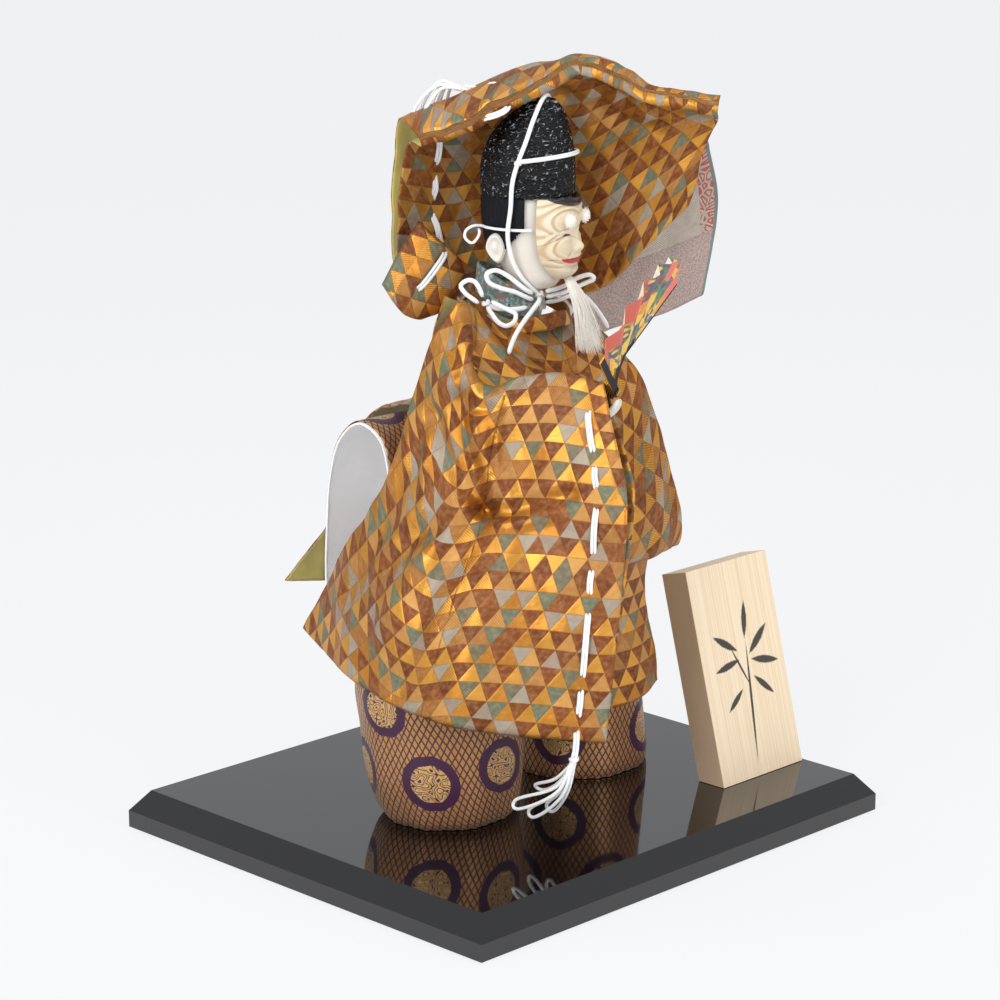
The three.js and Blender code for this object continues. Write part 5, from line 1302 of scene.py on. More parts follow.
left_points += [hood_face(0.14, share, reach) for share, reach in LEFT_STITCHES]
left_points += [hood_face(0.2, 0.94, INSIDE + 1.4), hood_face(0.26, 0.95, INSIDE + 0.6), *OVER_RIDGE]
laced("lacing_left", left_points, LEFT_KNOT, LEFT_STRANDS, look, (0, -1, 0.1))
print("both sleeves are laced")

# %% [markdown]
# ## Head, hair and hat
# The head is smooth shell-white over wood, the hair fine dark silk combed back, and the tall hat lacquered
# paper with a crinkled skin. All three are lofted from ovals up the head. The hat's wrinkles are real relief,
# half a millimetre high, and the mesh keeps their height, so that the finish can paint highlights on their
# tops.

# %% Head, ears and hair
HEAD = [
    [3, 0, 255, 8.5, 8.5], [5, 0, 263, 9, 8.5], [11, 0, 267.5, 9, 8.5], [15.5, 0, 270, 11, 10],
    [16, 0, 274, 13.5, 13], [14.5, 0, 280, 16, 15.2], [12.5, 0, 287, 18, 17], [11.5, 0, 294, 19.6, 18],
    [11, 0, 304, 20.5, 19], [11, 0, 316, 20.5, 18.5], [11, 0, 327, 15, 13.5], [11, 0, 333, 7, 6],
]
HAT = [
    [12, 0, 317, 24.2, 22.5], [12, 0, 330, 24.6, 22], [13, 0, 342, 22.5, 19.5], [15.5, 0, 352, 18, 15],
    [19, 0, 360, 11.5, 9.5], [22, 0, 365, 4.5, 4],
]



def from_neck(sections, swell=0):
    """Ovals of the head with the neck as their middle, made larger all round by swell."""
    return [[x - NECK_X, y, z, rx + swell, ry + swell] for x, y, z, rx, ry in sections]


SHELL = 1.2


def gofun_finish():
    """Smooth shell-white, a little waxy."""
    made = Finish("shell_white", Subsurface_Weight=0.1, Coat_Weight=0.15, Coat_Roughness=0.3)
    cloud = made.noise(made.place(), 45, 4.0)
    made.set(Base_Color=made.mix(made.ease(0.35, 0.75, cloud) * 0.5, "dcd5cc", "d3c7ba"),
             Roughness=0.34 + cloud * 0.15)
    return made.bump(made.noise(made.place(), 900, 3.0), 0.03)


GOFUN = gofun_finish()


def closed_tube(name, grid, room, dome=0.0):
    """A tube whose top and bottom are closed by a fan of faces."""
    around, up = grid.shape[:2]
    points = np.concatenate([grid.reshape(-1, 3), [grid[:, 0].mean(0)], [grid[:, -1].mean(0) + [0, 0, dome]]])
    faces = []
    for i in range(around):
        k = (i + 1) % around
        for j in range(up - 1):
            faces.append((i * up + j, k * up + j, k * up + j + 1, i * up + j + 1))
        faces.append((around * up, k * up, i * up))
        faces.append((around * up + 1, i * up + up - 1, k * up + up - 1))
    return reshape(mesh_piece(name, room(points), faces), face_out)


skull = closed_tube("head_gofun", oval_grid(from_neck(HEAD), 96, 96), head)
dressed(trimmed(skull, ["head"], 0.7), [GOFUN], "gofun", "head")

EAR_X, EAR_Y, EAR_Z = -0.5, 16.6, 289.5


def ear(side):
    """An ear: a flattened shell with a rolled rim and a hollow."""
    bpy.ops.object.select_all(action="DESELECT")
    bpy.ops.mesh.primitive_uv_sphere_add(segments=48, ring_count=32, radius=1)
    made = bpy.context.object
    made.name = "ear_left" if side > 0 else "ear_right"
    co = np.array([v.co for v in made.data.vertices], float)
    ring = np.hypot(co[:, 0], co[:, 2])
    out = np.clip(co[:, 1] * side, 0, 1)
    hollow = -0.42 * np.exp(-((ring - 0.44) / 0.2) ** 2) + 0.25 * np.exp(-((ring - 0.82) / 0.12) ** 2)
    folded = -0.25 * np.exp(-((co[:, 0] - 0.25) / 0.16) ** 2 - (co[:, 2] / 0.5) ** 2)
    co[:, 1] += side * np.where(out > 0, hollow + folded, 0)
    lobe = np.clip(-co[:, 2], 0, 1)
    co[:, 0] = co[:, 0] * (1 - 0.35 * lobe) + 0.15 * lobe
    co = co * [5.0, 2.8, 7.8]
    co[:, 1] += side * (1.9 - 0.42 * np.minimum(co[:, 0], 0) + 0.06 * co[:, 2])
    co += [EAR_X, side * EAR_Y, EAR_Z + 1.2]
    made.data.vertices.foreach_set("co", head(co).ravel())
    made.data.shade_smooth()
    made.data.update()
    return dressed(made, [GOFUN], "gofun")


ear(-1)
ear(1)


def hair_finish():
    made = Finish("combed_hair", Specular_IOR_Level=0.15)
    x, y, z = made.split(made.place())
    strands = made.noise(made.vector(x * 3.0, y * 3.0, z * 0.12), 900, 2.0)
    made.set(Base_Color=made.mix(made.ease(0.3, 0.8, strands), "06070b", "161922"),
             Roughness=0.42 + strands * 0.15)
    return made.bump(strands, 0.25)


hair = closed_tube("hair_silk", oval_grid(from_neck(HEAD, 2.4), 120, 120), head)
dressed(trimmed(hair, ["hair"], 1.5), [hair_finish()], "hair", "hair")
modify(hair, "SOLIDIFY", thickness=SHELL * MM, offset=-1.0)


def crinkle_finish():
    made = Finish("crinkled_lacquer", Specular_IOR_Level=0.2)
    spot = made.place()
    bent = made.noise(spot, 1300, 2.0)
    relief = made.attribute("relief")
    # Painted highlights: the tops of the wrinkles turn pale grey in colour, in patches, as if they caught the
    # lamps.
    painted_glints = made.ease(0.6, 0.95, relief) * made.ease(0.42, 0.6, made.noise(spot, 420, 2.0)) * 0.62
    made.set(Base_Color=made.mix(painted_glints, "040405", "c4c8d0"), Roughness=0.12 + bent * 0.14)
    return made.bump(bent, 0.5)


def crinkled(made, height):
    """Raise the little worm-like wrinkles of the lacquered paper, and keep their height for the finish, which
    paints highlights on their tops.
    """
    heights = []
    for vertex in made.data.vertices:
        x, y, z = vertex.co * 430
        bent = noise.noise(Vector((x * 0.6, y * 0.6, z * 0.6 + 7)))
        heights.append(max(0, 1 - abs(noise.noise(Vector((x * 0.8 + bent, y * 0.8, z * 1.5)))) / 0.24))
    normals = [vertex.normal.copy() for vertex in made.data.vertices]
    for vertex, normal, high in zip(made.data.vertices, normals, heights):
        vertex.co += normal * (high - 0.6) * height * MM
    relief = made.data.attributes.new("relief", "FLOAT", "POINT")
    relief.data.foreach_set("value", heights)


hat = closed_tube("court_hat_lacquer", oval_grid(from_neck(HAT), 250, 150, 7, 0.12), head, dome=1.5)
trimmed(hat, ["court_hat"], 1.6)
crinkled(hat, 0.5)
dressed(hat, [crinkle_finish()], "hat_lacquer", "court_hat")
modify(hat, "SOLIDIFY", thickness=SHELL * MM, offset=-1.0)


def side_of(sections, x, z, side, reach):
    """The side of a stack of ovals at a place along x and up z."""
    rows = np.array(sections, float)
    cx, _, _, rx, ry = (np.interp(z, rows[:, 2], rows[:, k]) for k in range(5))
    return [x, side * (ry * math.sqrt(max(0.02, 1 - ((x - cx) / rx) ** 2)) + reach), z]


HAT_CORD, REACH = 2.3, 2.2
SIDE_PATH = [
    [10.6, 325, 0.8], [9.3, 312, 3.4], [8.2, 301, 4.3], [7.8, 294, 3.1], [9.5, 284, 2.4], [12.6, 276, 0.8],
]
hat_rows, head_rows = from_neck(HAT), from_neck(HEAD)
side_path = lambda side: [
    side_of(hat_rows if z > 317 else head_rows, x, z, side, REACH + more) for x, z, more in SIDE_PATH
]
crown_path = lambda side: [
    side_of(hat_rows, 15.6, 345, side, REACH), side_of(hat_rows, 17.6, 355, side, REACH + 0.6),
    [18.6, side * 5.2, 364.8],
]
CHIN_KNOT = [17.8, -6.8, 266.2]
over_crown = [CHIN_KNOT, [15.2, -13, 271.4], *side_path(-1)[::-1], side_of(hat_rows, 12.6, 335, -1, REACH)]
over_crown += crown_path(-1) + [[19, 0, 366.9]] + crown_path(1)[::-1]
over_crown += [side_of(hat_rows, 12.6, 335, 1, REACH), *side_path(1)]
over_crown += [[15.2, 13, 271.4], [17.5, 5, 264.9], CHIN_KNOT]
band = []
for k in range(9):
    turn = math.radians(-82 + 20.5 * k)
    cx, _, _, rx, ry = hat_rows[1]
    swell = REACH + 0.2 - 1.6
    rise = 335 + 3.4 * max(0, math.cos(turn))
    band.append([cx + (rx + swell) * math.cos(turn), (ry + swell) * math.sin(turn), rise])
net = [
    tube(name, path, HAT_CORD, head)[0]
    for name, path in (("hat_cord_crown", over_crown), ("hat_cord_band", band))
]
for side in (-1, 1):
    tie_at = side_of(hat_rows, 12.6, 335, side, REACH + 0.2)
    net.append(tied_knot(f"hat_cord_tie_{side}", tie_at, head, 1.2, 1.7))
net.append(tied_knot("hat_cord_knot", CHIN_KNOT, head, *SMALL_KNOT))
dressed(merged("hat_cord_net", net), [], "white_cord", "hat_cord")

hair_rx, hair_ry = HEAD[8][3] + 3.65, HEAD[8][4] + 3.65
mask_path = [
    [HEAD[8][0] - NECK_X + hair_rx * math.cos(math.radians(t)), -hair_ry * math.sin(math.radians(t)), 301]
    for t in (62, 78, 94, 110, 126, 140)
]
mask_path += [
    [-13.5, -17.5, 301.2], [-16.5, -20.5, 299], [-16.4, -21.8, 295.5], [-13, -21, 293], [-10.6, -19.2, 295.6],
    [-10.2, -17.8, 298.4], [-11.3, -16.7, 299.8],
]
dressed(tube("mask_cord_silk", mask_path, MASK_CORD, head)[0], [], "white_cord", "mask_cord")
print("head, hair, hat and their cords")

# %% [markdown]
# ## The carved mask
# An old man's mask in two pieces, the jaw hung under the face. One function of turn and height gives its
# form; grooves for the wrinkles are added to it by how far a point is from the brow and the cheek, so they
# ring both. The same measures drive the paint: tan in the grooves, red lips, a dark hairline.

# %% Mask form
CHIN_Z, MOUTH_Z, MASK_TOP, MASK_WALL = 274.6, 285.5, 316.4, 2.0
NOSE_Z, EYE_Z, EYE_Y, BROW_Y, BROW_Z = 291, 297.5, 10, 9.6, 305.5
MASK_FRONT = [
    [-0.038, 27.6], [-0.005, 30], [0.033, 33], [0.105, 35.4], [0.177, 34.8], [0.273, 35.8], [0.321, 35],
    [0.416, 35], [0.512, 34.8], [0.608, 35.6], [0.751, 36.8], [0.895, 36.6], [1.062, 36],
]
MASK_REAR = [[-0.038, 26.8], [0.033, 26.6], [0.129, 24], [0.273, 21.9], [0.56, 20.9], [1.062, 20.9]]
MASK_HALF = [
    [-0.038, 4], [0.01, 7.5], [0.081, 11.5], [0.177, 14.8], [0.273, 16.8], [0.392, 18.2], [0.56, 18.9],
    [0.751, 19], [0.895, 18.4], [1.062, 17],
]


def profile(stations, z):
    """A width or reach of the mask at a height, from (share of its height, value) stations."""
    stations = [[CHIN_Z + (MASK_TOP - CHIN_Z) * share, value] for share, value in stations]
    line = along_curve(stations, np.linspace(0, 1, 200))
    return np.interp(z, line[:, 0], line[:, 1])


def hill(y, z, dy, wy, dz, wz):
    """A soft hill on both sides of the middle, dy out from it, at height dz."""
    return np.exp(-(((np.abs(y) - dy) / wy) ** 2) - ((z - dz) / wz) ** 2)


def rings(distance, first, last, period):
    """Ridges and grooves by distance: 1 on a ridge and -1 in a groove, fading out at both ends."""
    inside = np.clip((distance - first) / 0.8, 0, 1) * np.clip((last - distance) / 1.6, 0, 1)
    return np.cos(2 * math.pi * (distance - first - 0.2) / period) * inside


def ledge(z, height, width):
    """A soft line at a height, 1 on it."""
    return np.exp(-((z - height) / width) ** 2)


HILLS = [
    (3.9, 0, 3.4, NOSE_Z, 3.6), (1.4, 0, 2.4, NOSE_Z + 6, 6), (1.7, 9.5, 6, NOSE_Z + 1, 7),
    (-1.3, 8.5, 5, EYE_Z + 1.5, 3), (0.9, 3.3, 1.5, NOSE_Z - 1.4, 1.6), (-0.7, 5.6, 0.9, NOSE_Z - 2.5, 3.2),
]


def mask_form(turn, z):
    """Points of the mask's face, and how deep in a groove, how red and how dark each is, with the painted
    shade round the eye slits.
    """
    rear, half = profile(MASK_REAR, z), profile(MASK_HALF, z)
    y = half * np.sin(turn)
    a = np.abs(y)
    x = rear + (profile(MASK_FRONT, z) - rear) * np.clip(np.cos(turn), 0, 1) ** 0.95
    for height, *place in HILLS:
        x = x + height * hill(y, z, *place)
    brow = np.hypot((a - BROW_Y) * np.where(a < BROW_Y, 0.5, 0.85), z - BROW_Z + 0.6)
    over = np.clip((z - BROW_Z + 5.5 + 0.5 * np.maximum(a - BROW_Y, 0)) / 3, 0, 1)
    cheek = np.hypot((a - 9.6) * 0.8, (z - 291.4) * 0.86)
    outer = np.clip((a - 9.2) / 2, 0, 1) * np.clip((301 - z) / 3, 0, 1)
    wave = rings(brow, 4.2, 12.6, 2.5) * over + rings(cheek, 3.1, 10.2, 2.2) * outer
    lid = EYE_Z + 0.35 - 0.14 * (a - EYE_Y) - 0.05 * (a - EYE_Y) ** 2
    eye = np.clip(1 - ((a - EYE_Y) / 5.2) ** 2, 0, 1)
    smile = MOUTH_Z - 0.1 + 0.004 * a * a
    lips = np.clip(1 - (a / 12.6) ** 2, 0, 1)
    for height, line, width, share in (
        (1.3, lid + 1.5, 0.75, eye), (1.1, lid - 1.6, 0.8, eye), (-0.9, lid + 2.9, 0.5, eye),
        (1.5, smile - 1.35 * np.sqrt(lips), 1.1, lips), (1.1, smile + 1.1, 0.6, lips),
        (-0.9, smile - 4.2, 1.0, lips ** 2),
    ):
        wave = wave + height * ledge(z, line, width) * share
    crease = ledge(a, 5.2 + 0.9 * (290.5 - z), 0.8)
    wave = wave - 0.9 * crease * np.clip((z - 284) / 2, 0, 1) * np.clip((290.5 - z) / 2, 0, 1)
    x = x + 0.5 * wave * np.clip(np.cos(turn) * 6, 0, 1)
    upper_lip = np.clip((smile - z + 0.25) / 0.25, 0, 1)
    lower_lip = np.clip((z - smile + 2.9 * np.sqrt(lips)) / 0.3, 0, 1)
    slit = 0.34 * np.sqrt(np.clip(1 - ((a - EYE_Y) / 5) ** 2, 0, 1)) - np.abs(z - lid)
    hairline = (z - MASK_TOP + 4.4 * np.sqrt(np.clip(1 - (a / 16.5) ** 2, 0, 1))) / 0.3
    # The rim value is painted shade: it darkens the carving round each eye slit, for the dark hollow behind
    # it.
    paint = {
        "groove": np.clip(-wave, 0, 1), "ridge": np.clip(wave, 0, 1), "dark": np.clip(hairline, 0, 1),
        "red": upper_lip * lower_lip * (lips > 0.02), "rim": np.clip(1 - np.abs(slit) / 0.5, 0, 1),
    }
    return np.stack([x, y, z], -1), paint, slit > 0


def mask_finish():
    made = Finish("carved_ivory", Subsurface_Weight=0.06, Coat_Weight=0.12, Coat_Roughness=0.35)
    groove, ridge = made.attribute("groove"), made.attribute("ridge")
    spot = made.place()
    cloud = made.noise(spot, 120, 4.0)
    skin = made.mix(made.ease(0.3, 0.75, cloud) * 0.6, "ddcdb4", "d0b894")
    skin = made.mix(ridge * 0.35, skin, "ebdfca")
    skin = made.mix(groove * 0.62, skin, "b78c5a")
    dots = 1 - made.ease(0.1, 0.2, made.cells(spot, 1100))
    skin = made.mix(dots * made.attribute("stubble") * 0.7, skin, "8a6b48")
    # Painted shade round the eye slits.
    skin = made.mix(made.attribute("rim") * 0.5, skin, "8a6038")
    skin = made.mix(made.attribute("red"), skin, "b8252a")
    dark = made.attribute("dark")
    skin = made.mix(dark, skin, "241f1f")
    made.set(Base_Color=skin, Roughness=0.42 + cloud * 0.16 - dark * 0.2)
    return made.bump(cloud * 0.5 + made.noise(spot, 1500, 2.0) * 0.3, 0.06)


IVORY = mask_finish()


def carve(name, low, high, rows, node, body):
    """One piece of the mask: its grid, its eye slits cut out, thickness inwards."""
    across = 250
    turns = np.linspace(-math.pi / 2, math.pi / 2, across)
    turn, z = np.meshgrid(turns, np.linspace(low, high, rows), indexing="ij")
    points, paint, hole = mask_form(turn, z)
    y = points[..., 1]
    shaven = hill(y, z, 11, 3, 284.5, 1.8) + hill(y, z, 3.5, 2.2, 287.6, 0.9) + hill(y, z, 0, 6, 279, 2)
    paint["stubble"] = np.clip(shaven, 0, 1)
    gone = hole.ravel()
    faces = [face for face in grid_faces(across, rows) if not any(gone[k] for k in face)]
    made = mesh_piece(name, head(points), faces, None, paint)
    outwards(made, head, [1, 0, 0], (across // 2) * rows + rows // 3)

    def drop_loose(mesh):
        loose = [vertex for vertex in mesh.verts if not vertex.link_faces]
        bmesh.ops.delete(mesh, geom=loose, context="VERTS")

    dressed(reshape(made, drop_loose), [IVORY], "mask_ivory", node, body=body)
    return modify(made, "SOLIDIFY", thickness=MASK_WALL * MM, offset=-1.0)


carve("mask_face_carved", MOUTH_Z + 0.15, MASK_TOP, 140, "mask_face", "doll")
carve("mask_jaw_carved", CHIN_Z, MOUTH_Z - 0.15, 52, "mask_jaw", "jaw")

# %% [markdown]
# ## Beard and brow tufts
# Straight white horsehair: some hundreds of thin tapering strands, each a three-sided tube, rooted in a small
# patch under the chin and spreading as they fall. The brow tufts are short hairs round a small solid ball,
# which keeps light from passing between them.

# %% Horsehair
def horsehair():
    # The hair glows a little: painted light that brightens the strands where they shade each other.
    made = Finish("white_horsehair", Sheen_Weight=0.5, Emission_Strength=0.08)
    shade = made.attribute("shade")
    made.set(Base_Color=made.mix(shade, "fffdf8", "efe7d8"), Roughness=0.45 + shade * 0.15)
    return made.bump(made.noise(made.place(), 2500, 1.0), 0.02)


HORSEHAIR = horsehair()


def hairs(name, paths, radius, body, node, core=None):
    """Many strands as one mesh: paths[n][k] are the points of strand n. A core is a small ball in them."""
    paths = np.asarray(paths, float)
    count, steps = paths.shape[:2]
    tangent = np.gradient(paths, axis=1)
    tangent /= np.linalg.norm(tangent, axis=2, keepdims=True) + 1e-9
    side = np.cross(tangent, [0.3, 0.9, 0.2])
    side /= np.linalg.norm(side, axis=2, keepdims=True) + 1e-9
    other = np.cross(tangent, side)
    thin = radius * np.linspace(1, 0.25, steps)[None, :, None]
    corners = [paths + thin * (math.cos(t) * side + math.sin(t) * other) for t in (0, 2.094, 4.189)]
    points = np.stack(corners, 2).reshape(-1, 3)
    faces = []
    for base in range(0, count * steps * 3, steps * 3):
        for k in range(base, base + steps * 3 - 3, 3):
            faces += [(k, k + 1, k + 4, k + 3), (k + 1, k + 2, k + 5, k + 4), (k + 2, k, k + 3, k + 5)]
        end = base + steps * 3
        faces += [(base + 2, base + 1, base), (end - 3, end - 2, end - 1)]
    shades = np.repeat(np.random.default_rng(5).random(count), steps * 3)
    if core is not None:
        base, (centre, size) = len(points), core
        turns, tips = np.linspace(0, ROUND, 16, endpoint=False), np.linspace(0.1, math.pi - 0.1, 9)
        ball = [
            [math.sin(a) * math.cos(t), math.sin(a) * math.sin(t), math.cos(a)] for a in tips for t in turns
        ]
        points = np.concatenate([points, centre + np.array(ball) * size])
        for row in range(base, base + 128, 16):
            for i in range(16):
                a, b = row + i, row + (i + 1) % 16
                faces.append((a, a + 16, b + 16, b))
        faces += [tuple(base + i for i in range(16)), tuple(base + 143 - i for i in range(16))]
        shades = np.concatenate([shades, np.full(len(ball), 1.6)])
    made = mesh_piece(name, head(points), faces, None, {"shade": shades})
    return dressed(made, [HORSEHAIR], "horsehair", node, body=body)


draw = random.Random(31)
beard = []
for _ in range(560):
    turn, out = draw.uniform(0, ROUND), math.sqrt(draw.random())
    u, v = out * math.cos(turn), out * math.sin(turn)
    fall = 36 * (1.03 - 0.34 * draw.random() ** 2 - 0.1 * abs(v))
    sway, lean = draw.uniform(-1.6, 1.6), draw.uniform(-1.8, 1.8)
    path = []
    for t in np.linspace(0, 1, 11):
        spread_x, spread_y = 2.2 + 4.0 * t ** 1.1, 2.9 + 5.4 * t ** 1.1
        bulge = math.sin(math.pi * min(1, t * 1.15))
        path.append([
            31.2 + 16 * t + u * spread_x + 2.2 * bulge + sway * t * t,
            -10 * t + v * spread_y - 0.8 * bulge + lean * t * t, 274.9 - t * fall,
        ])
    beard.append(path)
hairs("beard_horsehair", beard, 0.19, "jaw", "beard")

for side, name in ((-1, "right"), (1, "left")):
    half = float(profile(MASK_HALF, BROW_Z))
    seat_at = mask_form(np.array([math.asin(side * BROW_Y / half)]), np.array([BROW_Z]))[0][0]
    outward = unit(np.array([1.0, side * 0.5, 0.0]))
    tuft = []
    for _ in range(380):
        z, turn = draw.uniform(-1, 1), draw.uniform(0, ROUND)
        way = np.array([math.sqrt(1 - z * z) * math.cos(turn), math.sqrt(1 - z * z) * math.sin(turn), z])
        way = unit(way + outward * 0.9)
        size = draw.uniform(0.8, 1.0)
        bend = np.array([draw.uniform(-0.5, 0.5) for _ in range(3)])
        reach = np.array([3.4, 4.4, 4.5]) * way * size
        root = seat_at + outward * 1.1
        tuft.append([root + reach * (0.3 + 0.7 * t) + bend * t * t for t in np.linspace(0, 1, 5)])
    heart = (seat_at + outward * 1.4, np.array([2.5, 3.3, 3.4]))
    hairs(f"brow_tuft_{name}_horsehair", tuft, 0.26, "doll", f"brow_tuft_{name}", heart)
print("mask, beard and brows")

# %% [markdown]
# ## Collars, under robe and sash
# Rings of cloth round the neck and waist. The crossed collar opens in front and shows its teal figured silk,
# the white one is gathered into small pleats, and the robe's own collar lies outside them.

# %% Collars and what is under the robe
def ring_grid(top, bottom, around, down):
    """A closed band between two closed curves."""
    rows = []
    for points in (top, bottom):
        points = np.array(points, float)
        closed = np.concatenate([points[-3:], points, points[:4]])
        wanted = np.linspace(3, 3 + len(points), around + 1) / (len(closed) - 1)
        rows.append(along_curve(closed, wanted))
    share = np.linspace(0, 1, down + 1)[None, :, None]
    return rows[0][:, None] * (1 - share) + rows[1][:, None] * share


def round_band(name, grid, room, thickness, material, node, reach, slot, roll):
    """A band of cloth whose good side looks away from its middle, its edges rolled a little."""
    out = grid - grid.reshape(-1, 3).mean(0)
    out[..., 2] = 0
    out /= np.linalg.norm(out, axis=2, keepdims=True)
    share = np.linspace(-1, 1, grid.shape[1])[None, :, None]
    grid = grid + out * (thickness + roll * (1 - share ** 4))
    across, down = grid.shape[:2]
    made = mesh_piece(name, room(grid), grid_faces(across, down), np.stack(measures(grid), -1))
    i, j = across // 4, down // 2
    outwards(made, room, out[i, j], i * down + j)
    finish_cloth(made, [material], thickness, slot=slot, node=node, reach=reach)
    return declared(made, grid)


ROBE_COLLAR = [
    [-15, -19, 256], [-5, -29, 258], [5, -31.5, 259], [16, -27.5, 258], [25, -16, 259], [25, 2, 264],
    [8, 16, 268], [-10, 12, 268], [-19, -3, 264],
]
low = [[x * 1.04, y * 1.04, z - 8] for x, y, z in ROBE_COLLAR]
round_band(
    "robe_collar_brocade", ring_grid(ROBE_COLLAR, low, 200, 14), figure, 1.3,
    brocade("gold_brocade_collar", 1.05, 21.0), "robe_collar", 1.2, "brocade", 0.5,
)


def turn_grid(start, end, top, bottom, around, down, pleat=None):
    """A band about the neck given by turn: top and bottom give reach, height and centre at each turn."""
    turn = np.radians(np.linspace(start, end, around + 1))
    grid = np.zeros((around + 1, down + 1, 3))
    for j, share in enumerate(np.linspace(0, 1, down + 1)):
        (x0, r0, z0), (x1, r1, z1) = top(turn), bottom(turn)
        reach = r0 * (1 - share) + r1 * share + (0 if pleat is None else pleat(turn, share))
        x, z = x0 * (1 - share) + x1 * share, z0 * (1 - share) + z1 * share
        grid[:, j] = np.stack([x + reach * np.cos(turn), reach * np.sin(turn), z], -1)
    return grid


teal = turn_grid(48, 312, lambda t: (4, 17, 271 - 10 * np.cos(t)), lambda t: (4, 18.5, 256 + 0 * t), 120, 20)
round_band(
    "collar_teal_silk", teal, look, 1.3, TEAL, "collar_teal", 1.2, "teal_cloth", 0.4,
)
white = turn_grid(
    0, 360, lambda t: (5, 12.4, 265 + 0 * t), lambda t: (5, 14.6, 257 + 0 * t), 480, 12,
    lambda t, share: 0.75 * np.sin(20 * t) * (1 - 0.2 * share),
)
round_band(
    "collar_white_pleats", white, look, 1.0, SILK, "collar_white", 1.5, "white_cloth", 0.2,
)

BODY = [
    [0, 0, 118, 30, 22], [0, 0, 150, 30, 22], [0, 0, 180, 31, 22], [0, 0, 210, 35, 23], [0, -1, 234, 37, 23],
    [0, -2, 244, 30, 20],
]
UNDER_ROBE = [[x, y, z, a + 1.2, b + 1.2] for x, y, z, a, b in BODY]
SASH = [[0, 0.5, 150, 55, 39], [0, 0.6, 156, 53, 38.4], [0, 0.7, 161, 51.5, 38]]
for node, sections, reach, material in (
    ("under_robe", UNDER_ROBE, 1.6, RED_SILK), ("waist_sash", SASH, 1.8, SILK),
):
    grid = oval_grid(sections, 120, 40, 12, 0.3, 0)
    grid = np.concatenate([grid, grid[:1]])[:, ::-1]
    round_band(
        node + "_silk", grid, figure, 1.2, material, node, reach, "white_cloth", 0.0,
    )

# %% [markdown]
# ## Hand, arms and the hidden frame
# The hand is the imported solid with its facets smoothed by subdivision. What is hidden inside, the pale wood
# core, the peg and the steel rods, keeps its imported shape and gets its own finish.

# %% Hand, arms and core
def finer(name, node, levels):
    """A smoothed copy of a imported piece, which it replaces."""
    made = bpy.data.objects.new(name, NODES[node].data.copy())
    bpy.context.scene.collection.objects.link(made)
    made.data.materials.clear()
    flatten = lambda mesh: bmesh.ops.dissolve_limit(
        mesh, angle_limit=0.02, verts=mesh.verts, edges=mesh.edges
    )
    reshape(made, lambda mesh: weld(mesh, 2e-5), flatten)
    modify(made, "SUBSURF", levels=levels)
    made.data.shade_smooth()
    return dressed(made, [GOFUN], "gofun", node)


finer("right_hand_gofun", "hand_right", 2)
finer("right_arm_gofun", "arm_right", 1)
finer("left_arm_gofun", "arm_left", 1)


def wood(name, pale, dark, rings_across=900.0):
    """Pale straight-grained wood: fine growth lines up the piece, and a slower drift of tone."""
    made = Finish(name, Specular_IOR_Level=0.35)
    x, y, z = made.split(made.place())
    drift = made.noise(made.vector(x, y, z * 0.15), 30, 3.0)
    lines = made.noise(made.vector(x + drift * 0.0006, 0.0, z * 0.004), rings_across, 1.0)
    fibre = made.noise(made.vector(x, y * 0.1, z * 0.03), 3200, 2.0)
    made.set(Base_Color=made.mix(made.ease(0.35, 0.7, lines) * 0.5 + fibre * 0.25, pale, dark),
             Roughness=fibre * 0.12 + 0.55)
    made.bump(lines * 0.5 + fibre * 0.5, 0.08)
    return made


def brushed(name, colour, rough):
    made = Finish(name, Metallic=1.0)
    mark = made.noise(made.place(), 700.0, 3.0)
    made.set(Base_Color=made.mix(mark * 0.4, colour, "6c6458"), Roughness=rough + mark * 0.15)
    return made.bump(mark, 0.02)


def refinished(material, *nodes):
    """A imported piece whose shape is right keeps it, and gets a better finish."""
    for node in nodes:
        NODES[node].material_slots[0].material = material


refinished(wood("core_wood", "d9c19a", "b99a6c").material, "torso_core", "neck_peg")
refinished(brushed("rod_steel", "b9bcc0", 0.25), "leg_rod_right", "leg_rod_left")
print("hand, arms and core")

# %% [markdown]
# ## The folding fan
# Eight black lacquered ribs with gilt edges turn on a brass rivet. The leaves are painted paper, cream at
# the back, pleated once between ribs. The painting is a generic one, of clouds, leaves and waves in strong
# colours.

# %% Ribs, leaves and rivet
FAN_RIB, RIB_THICKNESS, FAN_STEP, FAN_RIBS = 69.5, 0.8, 1.1, 8
FAN_FROM, FAN_OPEN, LEAF_START, PLEAT_RISE = -25, 111, 27, 4
rib_angle = lambda k: math.radians(FAN_FROM + FAN_OPEN * k / (FAN_RIBS - 1))
rib_level = lambda k: (k - (FAN_RIBS - 1) / 2) * FAN_STEP
on_rib = lambda k: rib_level(k) + RIB_THICKNESS + 0.2
rib_body = lambda k: "doll" if k == 0 else f"fan_part_{k + 1}"


def rib_finish():
    """Black lacquer, gilt where a face looks sideways, as on the edges."""
    made = Finish("fan_lacquer", Specular_IOR_Level=0.06)
    axis = unit(fan([0, 0, 1]) - fan([0, 0, 0]))
    normal = made.node("ShaderNodeNewGeometry", output="Normal")
    sockets = {0: normal, 1: tuple(axis)}
    dot = made.node("ShaderNodeVectorMath", {"operation": "DOT_PRODUCT"}, sockets, "Value")
    gilt = 1 - made.ease(0.3, 0.6, abs(dot))
    mark = made.noise(made.place(), 500, 3.0)
    colour = made.mix(gilt, "0c0b0d", "c8963e")
    made.set(Base_Color=colour, Metallic=gilt * 0.8, Roughness=0.45 + mark * 0.14)
    return made.bump(mark, 0.02)


